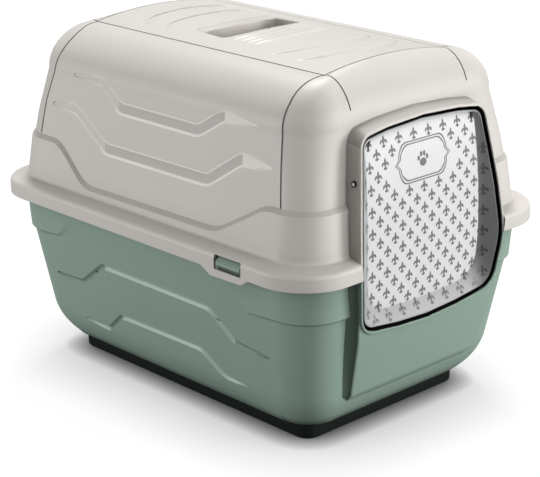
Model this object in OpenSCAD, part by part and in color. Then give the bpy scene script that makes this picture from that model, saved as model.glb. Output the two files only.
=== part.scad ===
// Hooded cat litter box: a deep tray, a lift-off hood, a swinging dish-shaped door
// on two pivot pins, and a spring catch at each side.
// Millimetres. +Z is up, the doorway faces -Y, and the origin is on the floor under the middle of the rim.

/* [Overall] */
// Width over the hood's rim
rim_w = 400; // [380:5:440]
// Length over the hood's rim
rim_l = 535; // [515:5:580]
// Height of the hood's lower edge above the floor
parting_h = 202.5; // [195:2.5:225]
// Height of the hood above its lower edge
hood_h = 207.5; // [200:2.5:230]
// Wall thickness of the tray and the hood
wall = 2.4; // [2:0.2:3]
// Plan radius at the corners of the rim
rim_corner = 61; // [50:1:75]

/* [Tray] */
// Reach of the rim beyond the tray at the sides
tray_reach = 19.5; // [18:0.5:24]
// Reach of the rim beyond the tray at the front and rear
tray_reach_end = 14; // [13:0.5:18]
// Plan radius at the corners of the tray, at its top
tray_corner = 50; // [44:1:56]
// Draft of the band below the rim, in degrees
band_draft = 3.7; // [2:0.1:5]
// Depth of the band below the rim
band_h = 45; // [35:1:55]
// Step from the band in to the wall below it
band_step = 2.8; // [1.6:0.2:3.6]
// Draft of the tray wall below the band, in degrees
tray_draft = 9.3; // [7:0.1:11]
// Radius where the wall turns under
heel_r = 70; // [62:1:80]
// Height of the turned part above the plinth
heel_rise = 57; // [52:1:60]
// Height of the plinth, the stepped-down floor that the tray stands on
plinth_h = 18; // [12:1:24]
// Inset of the plinth from the lower edge of the tray
plinth_in = 6.5; // [4:0.5:10]
// Radius of the plinth's corners
plinth_r = 18; // [6:1:24]

/* [Hood] */
// Reach of the rim beyond the hood's side walls, at the lower edge
hood_reach = 20.2; // [18:0.2:24]
// Reach of the rim beyond the hood's front and rear walls
hood_reach_end = 18.7; // [17:0.1:22]
// Draft of the hood's walls, in degrees
hood_draft = 8.1; // [6:0.1:10]
// Height of the step round the hood above its lower edge
step_h = 76; // [66:1:84]
// Height of the step where it dips at the sides
step_low_h = 33; // [32:1:40]
// How far the wall below the step stands proud
step_proud = 3.4; // [2:0.2:4]
// Plan radius at the hood's corners
hood_corner = 38; // [32:1:44]
// Height of the rounded shoulder between wall and roof panel
shoulder_h = 49; // [40:1:56]
// Width of the shoulder at the sides
shoulder_w = 65; // [55:1:75]
// Width of the shoulder at the front and rear
shoulder_end = 39; // [32:1:46]
// Rise of the cambered roof panel
camber = 8; // [4:0.5:12]
// Height of the rim's rounded section
rim_h = 22.6; // [21:0.2:26]

/* [Doorway] */
// Width of the doorway where it is widest, at the hood's lower edge
door_w = 229; // [210:1:240]
// Width of the doorway at its top corners
door_top_w = 192; // [180:1:200]
// Width of the doorway at its bottom corners
door_low_w = 211; // [195:1:215]
// Height of the doorway's top above the floor
door_top = 354; // [340:1:356]
// Height of the doorway's sill above the floor
door_sill = 129.5; // [120:0.5:140]
// Distance of the doorway's frame behind the rim's foremost edge, where it is furthest forward
frame_in = 1.1; // [0.5:0.1:3.5]
// Thickness of the frame's lip
lip = 3; // [2.4:0.2:3.6]

/* [Door] */
// Gap between the door and the lip
door_gap = 4; // [3:0.1:5]
// Thickness of the door
door_t = 2; // [1.6:0.2:2.4]
// Width of the door's flat face
face_w = 179; // [160:1:182]
// Margin of the face below the top of the doorway
face_top_in = 7.6; // [6:0.2:12]
// Margin of the face above the sill
face_low_in = 21; // [14:0.5:24]
// Distance of the door's edge behind the lip
door_set = 3; // [2:0.5:4]
// Distance of the middle of the face behind the rim's foremost edge
face_in = 17.7; // [16.5:0.1:20.5]
// Radius of the bowed face
face_bow_r = 833; // [780:10:1200]

/* [Hinge] */
// Height of the door's pivots above the floor
pivot_h = 300.7; // [290:0.5:305]
// Distance of the pivots behind the rim's foremost edge
pivot_in = 22.5; // [20.5:0.5:24.5]
// Diameter of the pivot pins
pin_d = 4; // [3:0.5:5]
// Radial clearance of a pin in the hood
pin_clear = 0.05; // [0.02:0.01:0.1]

/* [Catches] */
// Distance of the catches in front of the middle of the part
catch_y = 153; // [140:1:160]
// Width of the catch window
window_w = 41; // [36:1:46]
// Height of the catch window
window_h = 16; // [14:0.5:17]
// Drop of the rim below its lower edge at the catches
tab_drop = 7.5; // [6:0.5:9]
// Gap round a catch in its window
catch_gap = 1.2; // [0.8:0.1:2]

/* [Grip] */
// Width of the finger well in the roof
well_w = 118; // [100:1:130]
// Length of the finger well
well_l = 43; // [36:1:50]
// Depth of the finger well
well_d = 28; // [20:1:32]
// Number of grip ridges in front of the finger well
ridge_n = 4; // [2:1:5]
// Spacing of the grip ridges
ridge_pitch = 11; // [9:0.5:12]

/* [Hidden] */
frame_y = rim_l / 2 - frame_in;
face_y = rim_l / 2 - face_in;
pivot_y = rim_l / 2 - pivot_in;

corner_steps = 6;     // facets of a plan corner
edge_steps = 6;       // facets along a front or rear edge, which follow the camber
free_gap = 0.3;       // between pieces that part from each other
eps = 0.01;
green = [0.50, 0.61, 0.54];
stone = [0.80, 0.78, 0.75];

// ---------- plan rings and lofts ----------

// A rounded rectangle, anticlockwise seen from above, with points along its two end edges.
function ring(hx, yf, yr, rf, rr) = [
    for (i = [0:corner_steps]) let (a = 90 * i / corner_steps) [hx - rr + rr * cos(a), yr - rr + rr * sin(a)],
    for (i = [1:edge_steps - 1]) [(hx - rr) * (1 - 2 * i / edge_steps), yr],
    for (i = [0:corner_steps]) let (a = 90 + 90 * i / corner_steps) [-hx + rr + rr * cos(a), yr - rr + rr * sin(a)],
    for (i = [0:corner_steps]) let (a = 180 + 90 * i / corner_steps) [-hx + rf + rf * cos(a), rf - yf + rf * sin(a)],
    for (i = [1:edge_steps - 1]) [(hx - rf) * (2 * i / edge_steps - 1), -yf],
    for (i = [0:corner_steps]) let (a = 270 + 90 * i / corner_steps) [hx - rf + rf * cos(a), rf - yf + rf * sin(a)]
];

function lift(points, z) = [for (p = points) [p.x, p.y, z]];

// Closed skin over rings of equal length, listed upwards.
module loft(rings) {
    n = len(rings[0]);
    m = len(rings);
    polyhedron(
        points = [for (r = rings) each r],
        faces = [
            [for (j = [0:n - 1]) j],
            for (i = [0:m - 2], j = [0:n - 1])
                let (a = i * n + j, b = i * n + (j + 1) % n)
                each [[a, a + n, b + n], [a, b + n, b]],
            [for (j = [n - 1:-1:0]) (m - 1) * n + j]
        ]
    );
}

// Outward normal of the edge from p to q of an anticlockwise outline.
function normal(p, q) = let (d = q - p) [d.y, -d.x] / norm(d);

function xy(v) = [v[0], v[1]];
function before(v, i) = xy(v[(i + len(v) - 1) % len(v)]);
function after(v, i) = xy(v[(i + 1) % len(v)]);

// Corners [x, y, radius] of an anticlockwise outline, moved out by d.
function grown(v, d) = [
    for (i = [0:len(v) - 1])
        let (p = xy(v[i]), a = normal(before(v, i), p), b = normal(p, after(v, i)), q = p + (a + b) * d / (1 + a * b))
        [q.x, q.y, v[i][2] > 0 ? v[i][2] + d : 0]
];

// The outline with its corners rounded, in the same number of points at any size.
// Each corner is a circle's arc, as a rational curve from tangent a to tangent b.
function rounded(v, steps = 4) = [
    for (i = [0:len(v) - 1])
        let (p = xy(v[i]), u = before(v, i) - p, w = after(v, i) - p, a = u / norm(u), b = w / norm(w),
             half_turn = 90 - acos(max(-1, min(1, a * b))) / 2, back = v[i][2] * tan(half_turn))
        each v[i][2] <= 0 ? [p] : [
            for (k = [0:steps])
                let (t = k / steps, m = 2 * cos(half_turn) * t * (1 - t))
                p + (a * back * (1 - t) ^ 2 + b * back * t ^ 2) / ((1 - t) ^ 2 + m + t ^ 2)
        ]
];

// A right-hand half outline, listed upwards, with its mirror image.
function mirrored(half) = concat(half, [for (i = [len(half) - 2:-1:1]) [-half[i][0], half[i][1], half[i][2]]]);

// Solid with exact round corners, standing on z = 0.
module slab(hx, hy, r, h) {
    linear_extrude(h) {
        square([2 * (hx - r), 2 * hy], center = true);
        square([2 * hx, 2 * (hy - r)], center = true);
        for (x = [-1, 1], y = [-1, 1]) translate([x * (hx - r), y * (hy - r)]) circle(r, $fn = 64);
    }
}

// An outline drawn in Y and Z, carried along X on both sides.
module across_x(outline, from, to) {
    rotate([90, 0, 90]) translate([0, 0, from]) linear_extrude(to - from) polygon(outline);
}

// An outline drawn in X and Z, carried along Y.
module across_y(outline, from, to) {
    translate([0, to, 0]) rotate([90, 0, 0]) linear_extrude(to - from) polygon(outline);
}

// Band of even width along a run of [y, z] points, with pointed ends.
function run_normal(v, i) =
    let (d = v[min(i + 1, len(v) - 1)] - v[max(i - 1, 0)]) [-d.y, d.x] / norm(d);
function channel(v, w) = concat(
    [v[0]], [for (i = [1:len(v) - 2]) v[i] - run_normal(v, i) * w / 2],
    [v[len(v) - 1]], [for (i = [len(v) - 2:-1:1]) v[i] + run_normal(v, i) * w / 2]
);

// ---------- the doorway and its frame ----------

// Right-hand half of the doorway, as [x, z, corner radius].
doorway = mirrored([
    [0, door_sill, 0],
    [door_low_w * 0.22, door_sill + 2.7, 120],
    [door_low_w / 2, door_sill + 10.3, 24],
    [door_w / 2, parting_h + 1.5, 150],
    [(door_w - (door_w - door_top_w) * 0.31) / 2, parting_h + (door_top - parting_h) * 0.39, 300],
    [door_top_w / 2, door_top - 7.8, 16],
    [door_top_w * 0.29, door_top - 2.6, 120],
    [0, door_top, 0]
]);

face_x = face_w / 2;
face_top = door_top - face_top_in;
face_low = door_sill + face_low_in;
door_face = mirrored([
    [0, face_low, 0],
    [face_x * 0.55, face_low + 1.5, 120],
    [face_x - 3, face_low + 6, 30],
    [face_x, parting_h + 1.5, 150],
    [face_x - 0.5, parting_h + (face_top - parting_h) * 0.42, 300],
    [face_x - 3, face_top - 4.6, 13],
    [face_x * 0.55, face_top - 1.2, 120],
    [0, face_top, 0]
]);

// Reach of the frame's lip at a height: furthest at the hood's lower edge, raked back above and below.
function frame_reach(z) =
    let (d = z - parting_h, bend = sqrt(d * d + 100) - 10)
    d > 0 ? frame_y - 0.1 * bend - 0.00033 * d * d : frame_y - 0.065 * bend - 0.0008 * d * d;
function face_reach(z) = face_y - (z - parting_h - 7) ^ 2 / (2 * face_bow_r);

// Skin through outlines given as [[x, y, z], ...], listed from the back to the front.
// Its ends are closed in level strips, so they follow a surface that bends with height.
module outline_loft(rings) {
    n = len(rings[0]);
    m = len(rings);
    function end_cap(o) = [
        [o, o + 1, o + n - 1],
        for (k = [1:n / 2 - 2]) each [[o + k, o + k + 1, o + n - k - 1], [o + k, o + n - k - 1, o + n - k]],
        [o + n / 2 - 1, o + n / 2, o + n / 2 + 1]
    ];
    polyhedron(
        points = [for (r = rings) each r],
        faces = [
            each end_cap(0),
            for (i = [0:m - 2], j = [0:n - 1])
                let (a = i * n + j, b = i * n + (j + 1) % n) each [[a, a + n, b + n], [a, b + n, b]],
            for (f = end_cap((m - 1) * n)) [f[2], f[1], f[0]]
        ]
    );
}

// ---------- the tray's walls ----------

tray_x = rim_w / 2 - tray_reach;
tray_y = rim_l / 2 - tray_reach_end;
band_z = parting_h - band_h;
heel_z = plinth_h + heel_rise;
heel_top = heel_z - heel_r * sin(tray_draft);

// Insets of the band, and of the wall below it, from the tray's outline at the hood's lower edge.
function band_inset(z) = max(0, parting_h - z) * tan(band_draft);
function wall_inset(z) = max(band_inset(z), band_inset(band_z) + band_step + (band_z - z) * tan(tray_draft));
corner_taper = 0.28;  // how much the corners tighten as the wall draws in
function tray_ring(inset, z, in = 0) =
    let (r = max(tray_corner - corner_taper * inset - in, 6))
    lift(ring(tray_x - inset - in, tray_y - inset - in, tray_y - inset - in, r, r), z);

// The tray's outer form, drawn in by the given depth. The wall turns under along an arc.
module tray_form(in, top) {
    r = heel_r - in;
    end = asin(heel_rise / heel_r);
    start = wall_inset(heel_top) + heel_r * cos(tray_draft);
    fade_z = band_z + band_step / (tan(tray_draft) - tan(band_draft));
    loft([
        for (i = [0:5])
            let (a = end + (tray_draft - end) * i / 5) tray_ring(start - r * cos(a) - in, heel_z - r * sin(a), in),
        for (z = [fade_z, top]) tray_ring(wall_inset(z), z, in)
    ]);
}

// The band below the rim at both ends. Its lower edge climbs under the rim along the sides.
module tray_band() {
    front = 155 - rim_l / 2;
    rear = rim_l / 2 - 112;
    intersection() {
        loft([
            tray_ring(band_inset(band_z) + band_step + 0.4, band_z - 0.5),
            tray_ring(band_inset(band_z) - 0.05, band_z),
            tray_ring(-0.05, parting_h)
        ]);
        union() {
            across_x([[-rim_l, band_z - 9], [front - 42, band_z - 5], [front - 26, band_z + 22],
                [front - 12, parting_h + 1], [-rim_l, parting_h + 1]], -rim_w, rim_w);
            across_x([[rear + 8, band_z], [rim_l, band_z - 9], [rim_l, parting_h + 1],
                [rear - 40, parting_h + 1], [rear - 22, band_z + 29]], -rim_w, rim_w);
        }
    }
}

// The panel that carries the doorway's frame down the front of the tray.
apron_z = plinth_h + 42;
apron_in = 29.5;
function apron_reach(z) =
    z < door_sill ? rim_l / 2 - apron_in + (z - apron_z) * 0.257 : frame_reach(z) - 2.5;
function apron_ring(z, reach) =
    let (hx = door_w / 2 + lip - 0.1225 * (parting_h - z), spread = 5 + 5 * (parting_h - z) / (parting_h - apron_z),
         back = tray_y - wall_inset(z) - 1.8)
    [[-hx, -reach, z], [hx, -reach, z], [hx + spread, -back, z], [-hx - spread, -back, z]];
module apron() {
    low = apron_z - 10;
    loft([
        apron_ring(low, tray_y - wall_inset(low) - 2.6),
        for (z = [apron_z, door_sill - 3, door_sill + 22, door_sill + 45, parting_h - free_gap]) apron_ring(z, apron_reach(z))
    ]);
}

// The frame's solid outline: its lip in front, flaring into the walls behind it.
flare = 4;
crown = 5;
frame_back = tray_y - 38;
module frame_form() {
    front = rounded(grown(doorway, lip));
    back = rounded([for (v = grown(doorway, lip + flare)) [v[0], v[1] + (v[1] > parting_h + 60 ? crown : 0), v[2]]]);
    outline_loft([
        [for (p = back) [p.x, -frame_back, p.y]],
        [for (p = front) [p.x, -frame_reach(p.y), p.y]]
    ]);
}

module doorway_cut() {
    across_y(rounded(doorway), -frame_y - 10, -frame_back + 25);
}

// ---------- the hood's walls ----------

hood_x = rim_w / 2 - hood_reach;
hood_y = rim_l / 2 - hood_reach_end;
step_z = parting_h + step_h;
roof_z = parting_h + hood_h - camber;
shoulder_z = roof_z - shoulder_h;
rim_round = 14;
rim_fillet = 8;
relief = 1.5;

function hood_inset(z) = (z - parting_h) * tan(hood_draft);
function hood_radius(z) = hood_corner + max(0, step_z - z) * 0.12 + max(0, z - step_z - 22) * 0.19;
panel_x = hood_x - hood_inset(shoulder_z) - shoulder_w;
panel_y = hood_y - hood_inset(shoulder_z) - shoulder_end;
function roof(x) = roof_z + camber * (1 - (x / panel_x) ^ 2);

// One ring of the hood; its front and rear edges rise by a share of the camber towards the middle.
function hood_ring(hx, hy, r, z, share) =
    [for (p = ring(hx, hy, hy, r, r)) [p.x, p.y, z + camber * share * (1 - (p.x / hx) ^ 2)]];
function wall_ring(z, in) =
    hood_ring(hood_x - hood_inset(z) - in, hood_y - hood_inset(z) - in, hood_radius(z) - in, z, 0);
function shoulder_ring(a, in) = hood_ring(
    panel_x + (shoulder_w - in) * cos(a), panel_y + (shoulder_end - in) * cos(a),
    6 + (hood_radius(shoulder_z) - 6 - in) * cos(a), shoulder_z + (shoulder_h - in) * sin(a), (1 - cos(a)) ^ 2);
function roof_ring(t, in) =
    [for (p = ring(panel_x * (1 - t), panel_y - panel_x * t, panel_y - panel_x * t, 6 * (1 - t), 6 * (1 - t)))
        [p.x, p.y, roof(t > 0.9 ? 0 : p.x) - in]];

// The hood's outer form above its rim, drawn in by the given depth.
module hood_form(in, bottom) {
    loft([
        for (z = [bottom, step_z, step_z + 22]) wall_ring(z, in),
        for (a = [0:15:90]) shoulder_ring(a, in),
        for (t = [0.35, 0.7, 0.985]) roof_ring(t, in)
    ]);
}

// The rim's section as [share of the reach, height]: a skirt, a round top and a fillet up to the wall.
function rim_section(in) = [
    [1, in > 0 ? -1 : 0],
    for (a = [0:18:90]) [0.5 + 0.5 * cos(a), rim_h - rim_round + (rim_round - in) * sin(a)],
    for (a = [0:30:90]) [0.32 * (1 - sin(a)), rim_h - in + 0.3 + rim_fillet * (1 - cos(a))]
];
function rim_ring(e, z, in) =
    let (proud = step_proud - hood_inset(z), r = (hood_radius(z) + step_proud) * (1 - e) + rim_corner * e - in)
    let (hx = (hood_x + proud) * (1 - e) + rim_w / 2 * e - in, hy = (hood_y + proud) * (1 - e) + rim_l / 2 * e - in)
    lift(ring(hx, hy, hy, r, r), z);

// The rim and the proud wall above it, up to the step that dips at the sides.
module rim_form(in) {
    rear = rim_l / 2 - 101.5;
    front = 86.5 - rim_l / 2;
    low = parting_h + step_low_h - in;
    high = step_z - in;
    intersection() {
        loft([
            for (s = rim_section(in)) rim_ring(s[0], parting_h + s[1], in),
            rim_ring(0, step_z + 4, in)
        ]);
        across_x(rounded([
            [-rim_l, parting_h - 5, 0], [rim_l, parting_h - 5, 0], [rim_l, high, 0], [rear, high, 18],
            [rear - 53, low, 18], [front + 68, low, 18], [front, high, 18], [-rim_l, high, 0]
        ]), -rim_w, rim_w);
    }
}

// Channels that run along both sides, as [y, z] points from the rear to the front.
module side_channels(runs, w) {
    for (v = runs) across_x(channel(v, w), -rim_w, rim_w);
}

rear_end = rim_l / 2;
front_end = -rim_l / 2;
hood_runs = [
    [[rear_end - 117, 356], [rear_end - 170, 357], [rear_end - 204, 332.5],
     [front_end + 200, 332.5], [front_end + 162, 357], [front_end + 110, 355]],
    [[rear_end - 83, 317], [rear_end - 126, 318], [rear_end - 184, 284],
     [front_end + 179, 284], [front_end + 130, 317.5], [front_end + 84, 316]]
];
tray_runs = [
    [[rear_end - 77, 107.8], [rear_end - 131.5, 107], [rear_end - 177.5, 141],
     [front_end + 176.5, 140.5], [front_end + 137.5, 108.5], [front_end + 84, 106]],
    [[rear_end - 122.5, 57.5], [rear_end - 170.5, 57], [rear_end - 198.5, 82],
     [front_end + 200.5, 83], [front_end + 165.5, 59.5], [front_end + 126.5, 58]]
];

// ---------- the roof ----------

well_x = well_w / 2;
well_front = 1.5;
well_bow = 8;
well_floor = roof_z + camber - well_d;
well = mirrored([
    [0, well_front - well_bow, 0], [well_x * 0.5, well_front - well_bow * 0.85, 60], [well_x, well_front, 6],
    [well_x - 4, well_front + well_l, 8], [well_x * 0.5, well_front + well_l - well_bow * 0.85, 60],
    [0, well_front + well_l - well_bow, 0]
]);

// A bar across the roof that follows its camber and arches forward by the given bow.
module roof_bar(half, y_end, bow, w, h) {
    n = 8;
    loft([
        for (i = [0:n])
            let (t = 2 * i / n - 1, x = t * half, y = y_end - bow * (1 - t * t), z = roof(x))
            [[x, y - w / 2, z - 1.2], [x, y + w / 2, z - 1.2], [x, y + w / 2 - 0.6, z + h], [x, y - w / 2 + 0.6, z + h]]
    ]);
}

// Grooves round the roof's panel, on down the shoulders. Down the sides they spread apart.
module panel_grooves() {
    w = 1.6;
    seam_low = 13;
    for (s = [-1, 1]) {
        translate([s * panel_x - w / 2, -panel_y - shoulder_end, shoulder_z]) cube([w, 2 * (panel_y + shoulder_end), 90]);
        across_x([
            for (v = [[seam_low, step_z], [0, roof_z], [0, roof_z + 2 * camber]]) [s * (panel_y + v[0]) - w / 2, v[1]],
            for (v = [[0, roof_z + 2 * camber], [0, roof_z], [seam_low, step_z]]) [s * (panel_y + v[0]) + w / 2, v[1]]
        ], -hood_x, hood_x);
    }
}

// ---------- the pivots and the catches ----------

// Half width of the doorway at a height above its widest part.
function jamb(z) =
    let (z0 = parting_h + (door_top - parting_h) * 0.39, z1 = door_top - 7.8)
    let (x0 = (door_w - (door_w - door_top_w) * 0.31) / 2)
    x0 + (door_top_w / 2 - x0) * (z - z0) / (z1 - z0);
jamb_x = jamb(pivot_h);
head_x = jamb_x + lip - 0.4;
pin_x = jamb_x - door_gap - 5.5;

// A rod along X at the door's pivots, on one side.
module pivot_rod(r, from, to) {
    translate([from, -pivot_y, pivot_h]) rotate([0, 90, 0]) cylinder(h = to - from, r = r, $fn = 48);
}

foot_inset = wall_inset(heel_top) + heel_r * (cos(tray_draft) - cos(asin(heel_rise / heel_r))) + plinth_in;
foot_x = tray_x - foot_inset;
foot_y = tray_y - foot_inset;
tongue_w = window_w - 2 * catch_gap - 2;
tongue_t = 2.5;
tongue_x = rim_w / 2 - wall - 2.6;
bracket_top = parting_h - 2.5;
root_z = bracket_top + free_gap + tongue_t / 2;
tray_top = parting_h + rim_h - wall - free_gap;
flange_x = (hood_x + step_proud - hood_inset(tray_top) + rim_w / 2) / 2 - wall - 1.5;
flange_y = (hood_y + step_proud - hood_inset(tray_top) + rim_l / 2) / 2 - wall - 1.5;

// ---------- the pieces ----------

module tray() {
    color(green) difference() {
        union() {
            tray_form(0, tray_top);
            tray_band();
            apron();
            intersection() {
                frame_form();
                translate([-rim_w, -rim_l, 0]) cube([2 * rim_w, 2 * rim_l, parting_h - free_gap]);
            }
            // plinth
            slab(foot_x, foot_y, plinth_r, plinth_h + 1);
            // flange that carries the hood
            translate([0, 0, tray_top - wall]) slab(flange_x, flange_y, tray_corner + 3, wall);
            // brackets for the catches
            for (s = [-1, 1])
                translate([s > 0 ? tray_x - 3 : -tongue_x - 0.5, -catch_y - tongue_w / 2, bracket_top - 3.5])
                    cube([tongue_x - tray_x + 3.5, tongue_w, 3.5]);
        }
        tray_form(wall, tray_top + 1);
        doorway_cut();
        // room for the hood's part of the frame
        translate([-door_w / 2 - lip - flare - 2, -rim_l, parting_h - free_gap])
            cube([door_w + 2 * (lip + flare + 2), rim_l - frame_back + 20, 50]);
        translate([0, 0, wall]) slab(foot_x - wall, foot_y - wall, plinth_r - wall, plinth_h + 5);
        difference() {
            side_channels(tray_runs, 6);
            tray_form(relief, tray_top);
        }
    }
}
module hood() {
    inner_z = parting_h + 20;
    tab = [-catch_y - 32, -catch_y + 42];
    color(stone) difference() {
        union() {
            difference() {
                union() {
                    hood_form(0, inner_z + 4);
                    rim_form(0);
                }
                hood_form(wall, inner_z);
                rim_form(wall);
            }
            // the rim drops over each catch
            for (s = [-1, 1])
                across_x([[tab[0], parting_h + 3], [tab[0], parting_h], [tab[0] + 12, parting_h - tab_drop + 1],
                    [tab[1] - 16, parting_h - tab_drop], [tab[1], parting_h], [tab[1], parting_h + 3]],
                    s > 0 ? rim_w / 2 - wall : -rim_w / 2, s > 0 ? rim_w / 2 : wall - rim_w / 2);
            difference() {
                frame_form();
                translate([-rim_w, -rim_l, 0]) cube([2 * rim_w, 2 * rim_l, parting_h]);
                hood_form(wall, parting_h - 1);
            }
            // tub of the finger well
            intersection() {
                translate([0, 0, well_floor - wall]) linear_extrude(hood_h) polygon(rounded(grown(well, wall)));
                hood_form(1, inner_z);
            }
            for (k = [1:ridge_n]) roof_bar(well_x, well_front - (k + 0.3) * ridge_pitch, well_bow, 3, 0.9);
        }
        doorway_cut();
        difference() {
            union() {
                side_channels(hood_runs, 8);
                panel_grooves();
            }
            hood_form(relief, inner_z);
        }
        translate([0, 0, well_floor]) linear_extrude(hood_h) polygon(rounded(well));
        for (s = [-1, 1]) {
            translate([s * (rim_w / 2 - 2) - 4, -catch_y - window_w / 2, parting_h + 1]) cube([8, window_w, window_h]);
            mirror([s > 0 ? 0 : 1, 0, 0]) {
                pivot_rod(pin_d / 2 + pin_clear, jamb_x - 3, head_x + 2);
                pivot_rod(pin_d / 2 + 1.4, head_x - 1.2, head_x + 6);
            }
        }
    }
}

function edge_reach(z) = frame_reach(z) - door_set;
module door() {
    edge = rounded(grown(doorway, -door_gap));
    edge_in = rounded(grown(doorway, -door_gap - 1.8));
    face = rounded(door_face);
    face_back = rounded(grown(door_face, door_t * 0.7));
    color(stone) difference() {
        union() {
            outline_loft([
                [for (p = face_back) [p.x, door_t - face_reach(p.y), p.y]],
                [for (p = edge) [p.x, 2.6 - edge_reach(p.y), p.y]],
                [for (p = edge) [p.x, -edge_reach(p.y), p.y]]
            ]);
            for (s = [-1, 1]) mirror([s > 0 ? 0 : 1, 0, 0]) pivot_rod(pin_d / 2 + 2.2, pin_x - 1.5, jamb_x - door_gap + 2.4);
        }
        outline_loft([
            [for (p = face) [p.x, -face_reach(p.y), p.y]],
            [for (p = edge_in) [p.x, -edge_reach(p.y), p.y]],
            [for (p = edge_in) [p.x, -edge_reach(p.y) - 9, p.y]]
        ]);
        for (s = [-1, 1]) mirror([s > 0 ? 0 : 1, 0, 0]) pivot_rod(pin_d / 2, pin_x, jamb_x);
    }
}

module pivot_pin(s) {
    color([0.75, 0.75, 0.76]) mirror([s > 0 ? 0 : 1, 0, 0]) {
        pivot_rod(pin_d / 2, pin_x, head_x);
        pivot_rod(pin_d / 2 + 0.8, head_x - 1.2 + free_gap, head_x + 0.5);
    }
}
module pivot_pin_left() pivot_pin(-1);
module pivot_pin_right() pivot_pin(1);

// A tongue with a wedge for its nose, on a round root.
module catch(s) {
    top = parting_h + window_h - 1.5;
    low = parting_h + 2;
    color(green) mirror([s > 0 ? 0 : 1, 0, 0]) translate([0, -catch_y + tongue_w / 2, 0]) rotate([90, 0, 0]) linear_extrude(tongue_w) {
        translate([tongue_x - tongue_t / 2, root_z]) circle(tongue_t / 2, $fn = 32);
        polygon([
            [tongue_x - tongue_t, root_z], [tongue_x, root_z], [tongue_x, low], [rim_w / 2 - 1, low + 4],
            [rim_w / 2 - 1, low + 7], [tongue_x, top], [tongue_x - tongue_t, top]
        ]);
    }
}
module catch_left() catch(-1);
module catch_right() catch(1);

tray();
hood();
door();
pivot_pin_left();
pivot_pin_right();
catch_left();
catch_right();
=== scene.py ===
import math

import bmesh
import bpy
from mathutils import Matrix, Vector


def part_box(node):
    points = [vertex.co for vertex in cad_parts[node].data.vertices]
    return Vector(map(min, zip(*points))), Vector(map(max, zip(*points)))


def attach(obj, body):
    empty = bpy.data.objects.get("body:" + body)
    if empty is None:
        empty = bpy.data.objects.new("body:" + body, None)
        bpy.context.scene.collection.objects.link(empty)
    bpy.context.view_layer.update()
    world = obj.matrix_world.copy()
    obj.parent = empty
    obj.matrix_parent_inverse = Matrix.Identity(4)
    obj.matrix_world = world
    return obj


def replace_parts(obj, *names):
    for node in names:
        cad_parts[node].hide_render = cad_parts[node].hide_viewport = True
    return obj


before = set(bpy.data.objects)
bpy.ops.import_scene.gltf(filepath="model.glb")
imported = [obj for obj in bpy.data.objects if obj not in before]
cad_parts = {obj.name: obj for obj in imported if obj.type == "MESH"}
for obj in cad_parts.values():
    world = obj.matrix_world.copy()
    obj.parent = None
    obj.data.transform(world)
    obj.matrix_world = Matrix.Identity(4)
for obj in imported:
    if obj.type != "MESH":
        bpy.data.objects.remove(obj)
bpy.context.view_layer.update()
print("stage: frame loaded")

# Lengths are millimetres in the row frame: z up, -y the doorway's end. mesh() turns them into metres.
hoodLow, hoodHigh = (corner * 1000 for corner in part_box("hood"))
trayTop = (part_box("tray")[1] * 1000).z

# The rim is the hood's widest edge, which sits over the tray.
rim = {
    "width": hoodHigh.x - hoodLow.x,
    "length": hoodHigh.y - hoodLow.y,
    "low": hoodLow.z + 7.5,  # the catch tabs hang 7.5 lower
    "skirt": 12.6,
    "round": 6.0,
    "shelf": 0.15,  # share of the reach that the fillet takes
    "slope": 13.0,  # degrees
    "fillet": 3.9,
    "corner": 61.0,
}
rimX, rimY, rimZ = rim["width"] / 2, rim["length"] / 2, rim["low"]


def tan(degrees):
    return math.tan(math.radians(degrees))


def clamp(value, low=0, high=1):
    return max(low, min(high, value))


def between(path, t):
    # Value along (place, value) pairs, straight between them.
    for (a, va), (b, vb) in zip(path, path[1:]):
        if t <= b:
            return va + (vb - va) * max(0, (t - a) / (b - a))
    return path[-1][1]


# Flat outlines


def polyInside(poly, x, y):
    inside = False
    for (x1, y1), (x2, y2) in zip(poly, poly[1:] + poly[:1]):
        if (y1 > y) != (y2 > y) and x < (x2 - x1) * (y - y1) / (y2 - y1) + x1:
            inside = not inside
    return inside


def polyDistance(poly, x, y):
    best = 1e9
    for (x1, y1), (x2, y2) in zip(poly, poly[1:] + poly[:1]):
        dx, dy = x2 - x1, y2 - y1
        square = dx * dx + dy * dy
        t = clamp(((x - x1) * dx + (y - y1) * dy) / square) if square else 0
        best = min(best, math.hypot(x - x1 - t * dx, y - y1 - t * dy))
    return best


def polyBox(poly):
    xs, ys = [p[0] for p in poly], [p[1] for p in poly]
    return min(xs), min(ys), max(xs), max(ys)


def grown(corners, d):
    # Corners [x, y, radius] of an anticlockwise outline, moved out by d.
    out = []
    for i, (x, y, r) in enumerate(corners):
        p = Vector((x, y))
        a = p - Vector(corners[i - 1][:2])
        b = Vector(corners[(i + 1) % len(corners)][:2]) - p
        na, nb = Vector((a.y, -a.x)).normalized(), Vector((b.y, -b.x)).normalized()
        q = p + (na + nb) * d / (1 + na.dot(nb))
        out.append((q.x, q.y, max(0, r + d) if r else 0))
    return out


def rounded(corners, steps=8):
    # The outline's points, with an arc at each corner that has a radius.
    out = []
    for i, (x, y, r) in enumerate(corners):
        p = Vector((x, y))
        if r <= 0:
            out.append((x, y))
            continue
        a = (Vector(corners[i - 1][:2]) - p).normalized()
        b = (Vector(corners[(i + 1) % len(corners)][:2]) - p).normalized()
        half = math.pi / 2 - math.acos(clamp(a.dot(b), -1)) / 2
        back = r * math.tan(half)
        for k in range(steps + 1):
            t = k / steps
            m = 2 * math.cos(half) * t * (1 - t)
            q = p + (a * back * (1 - t) ** 2 + b * back * t**2) / ((1 - t) ** 2 + m + t**2)
            out.append((q.x, q.y))
    return out


def mirrored(half):
    return half + [(-x, y, r) for x, y, r in reversed(half[1:-1])]


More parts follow.
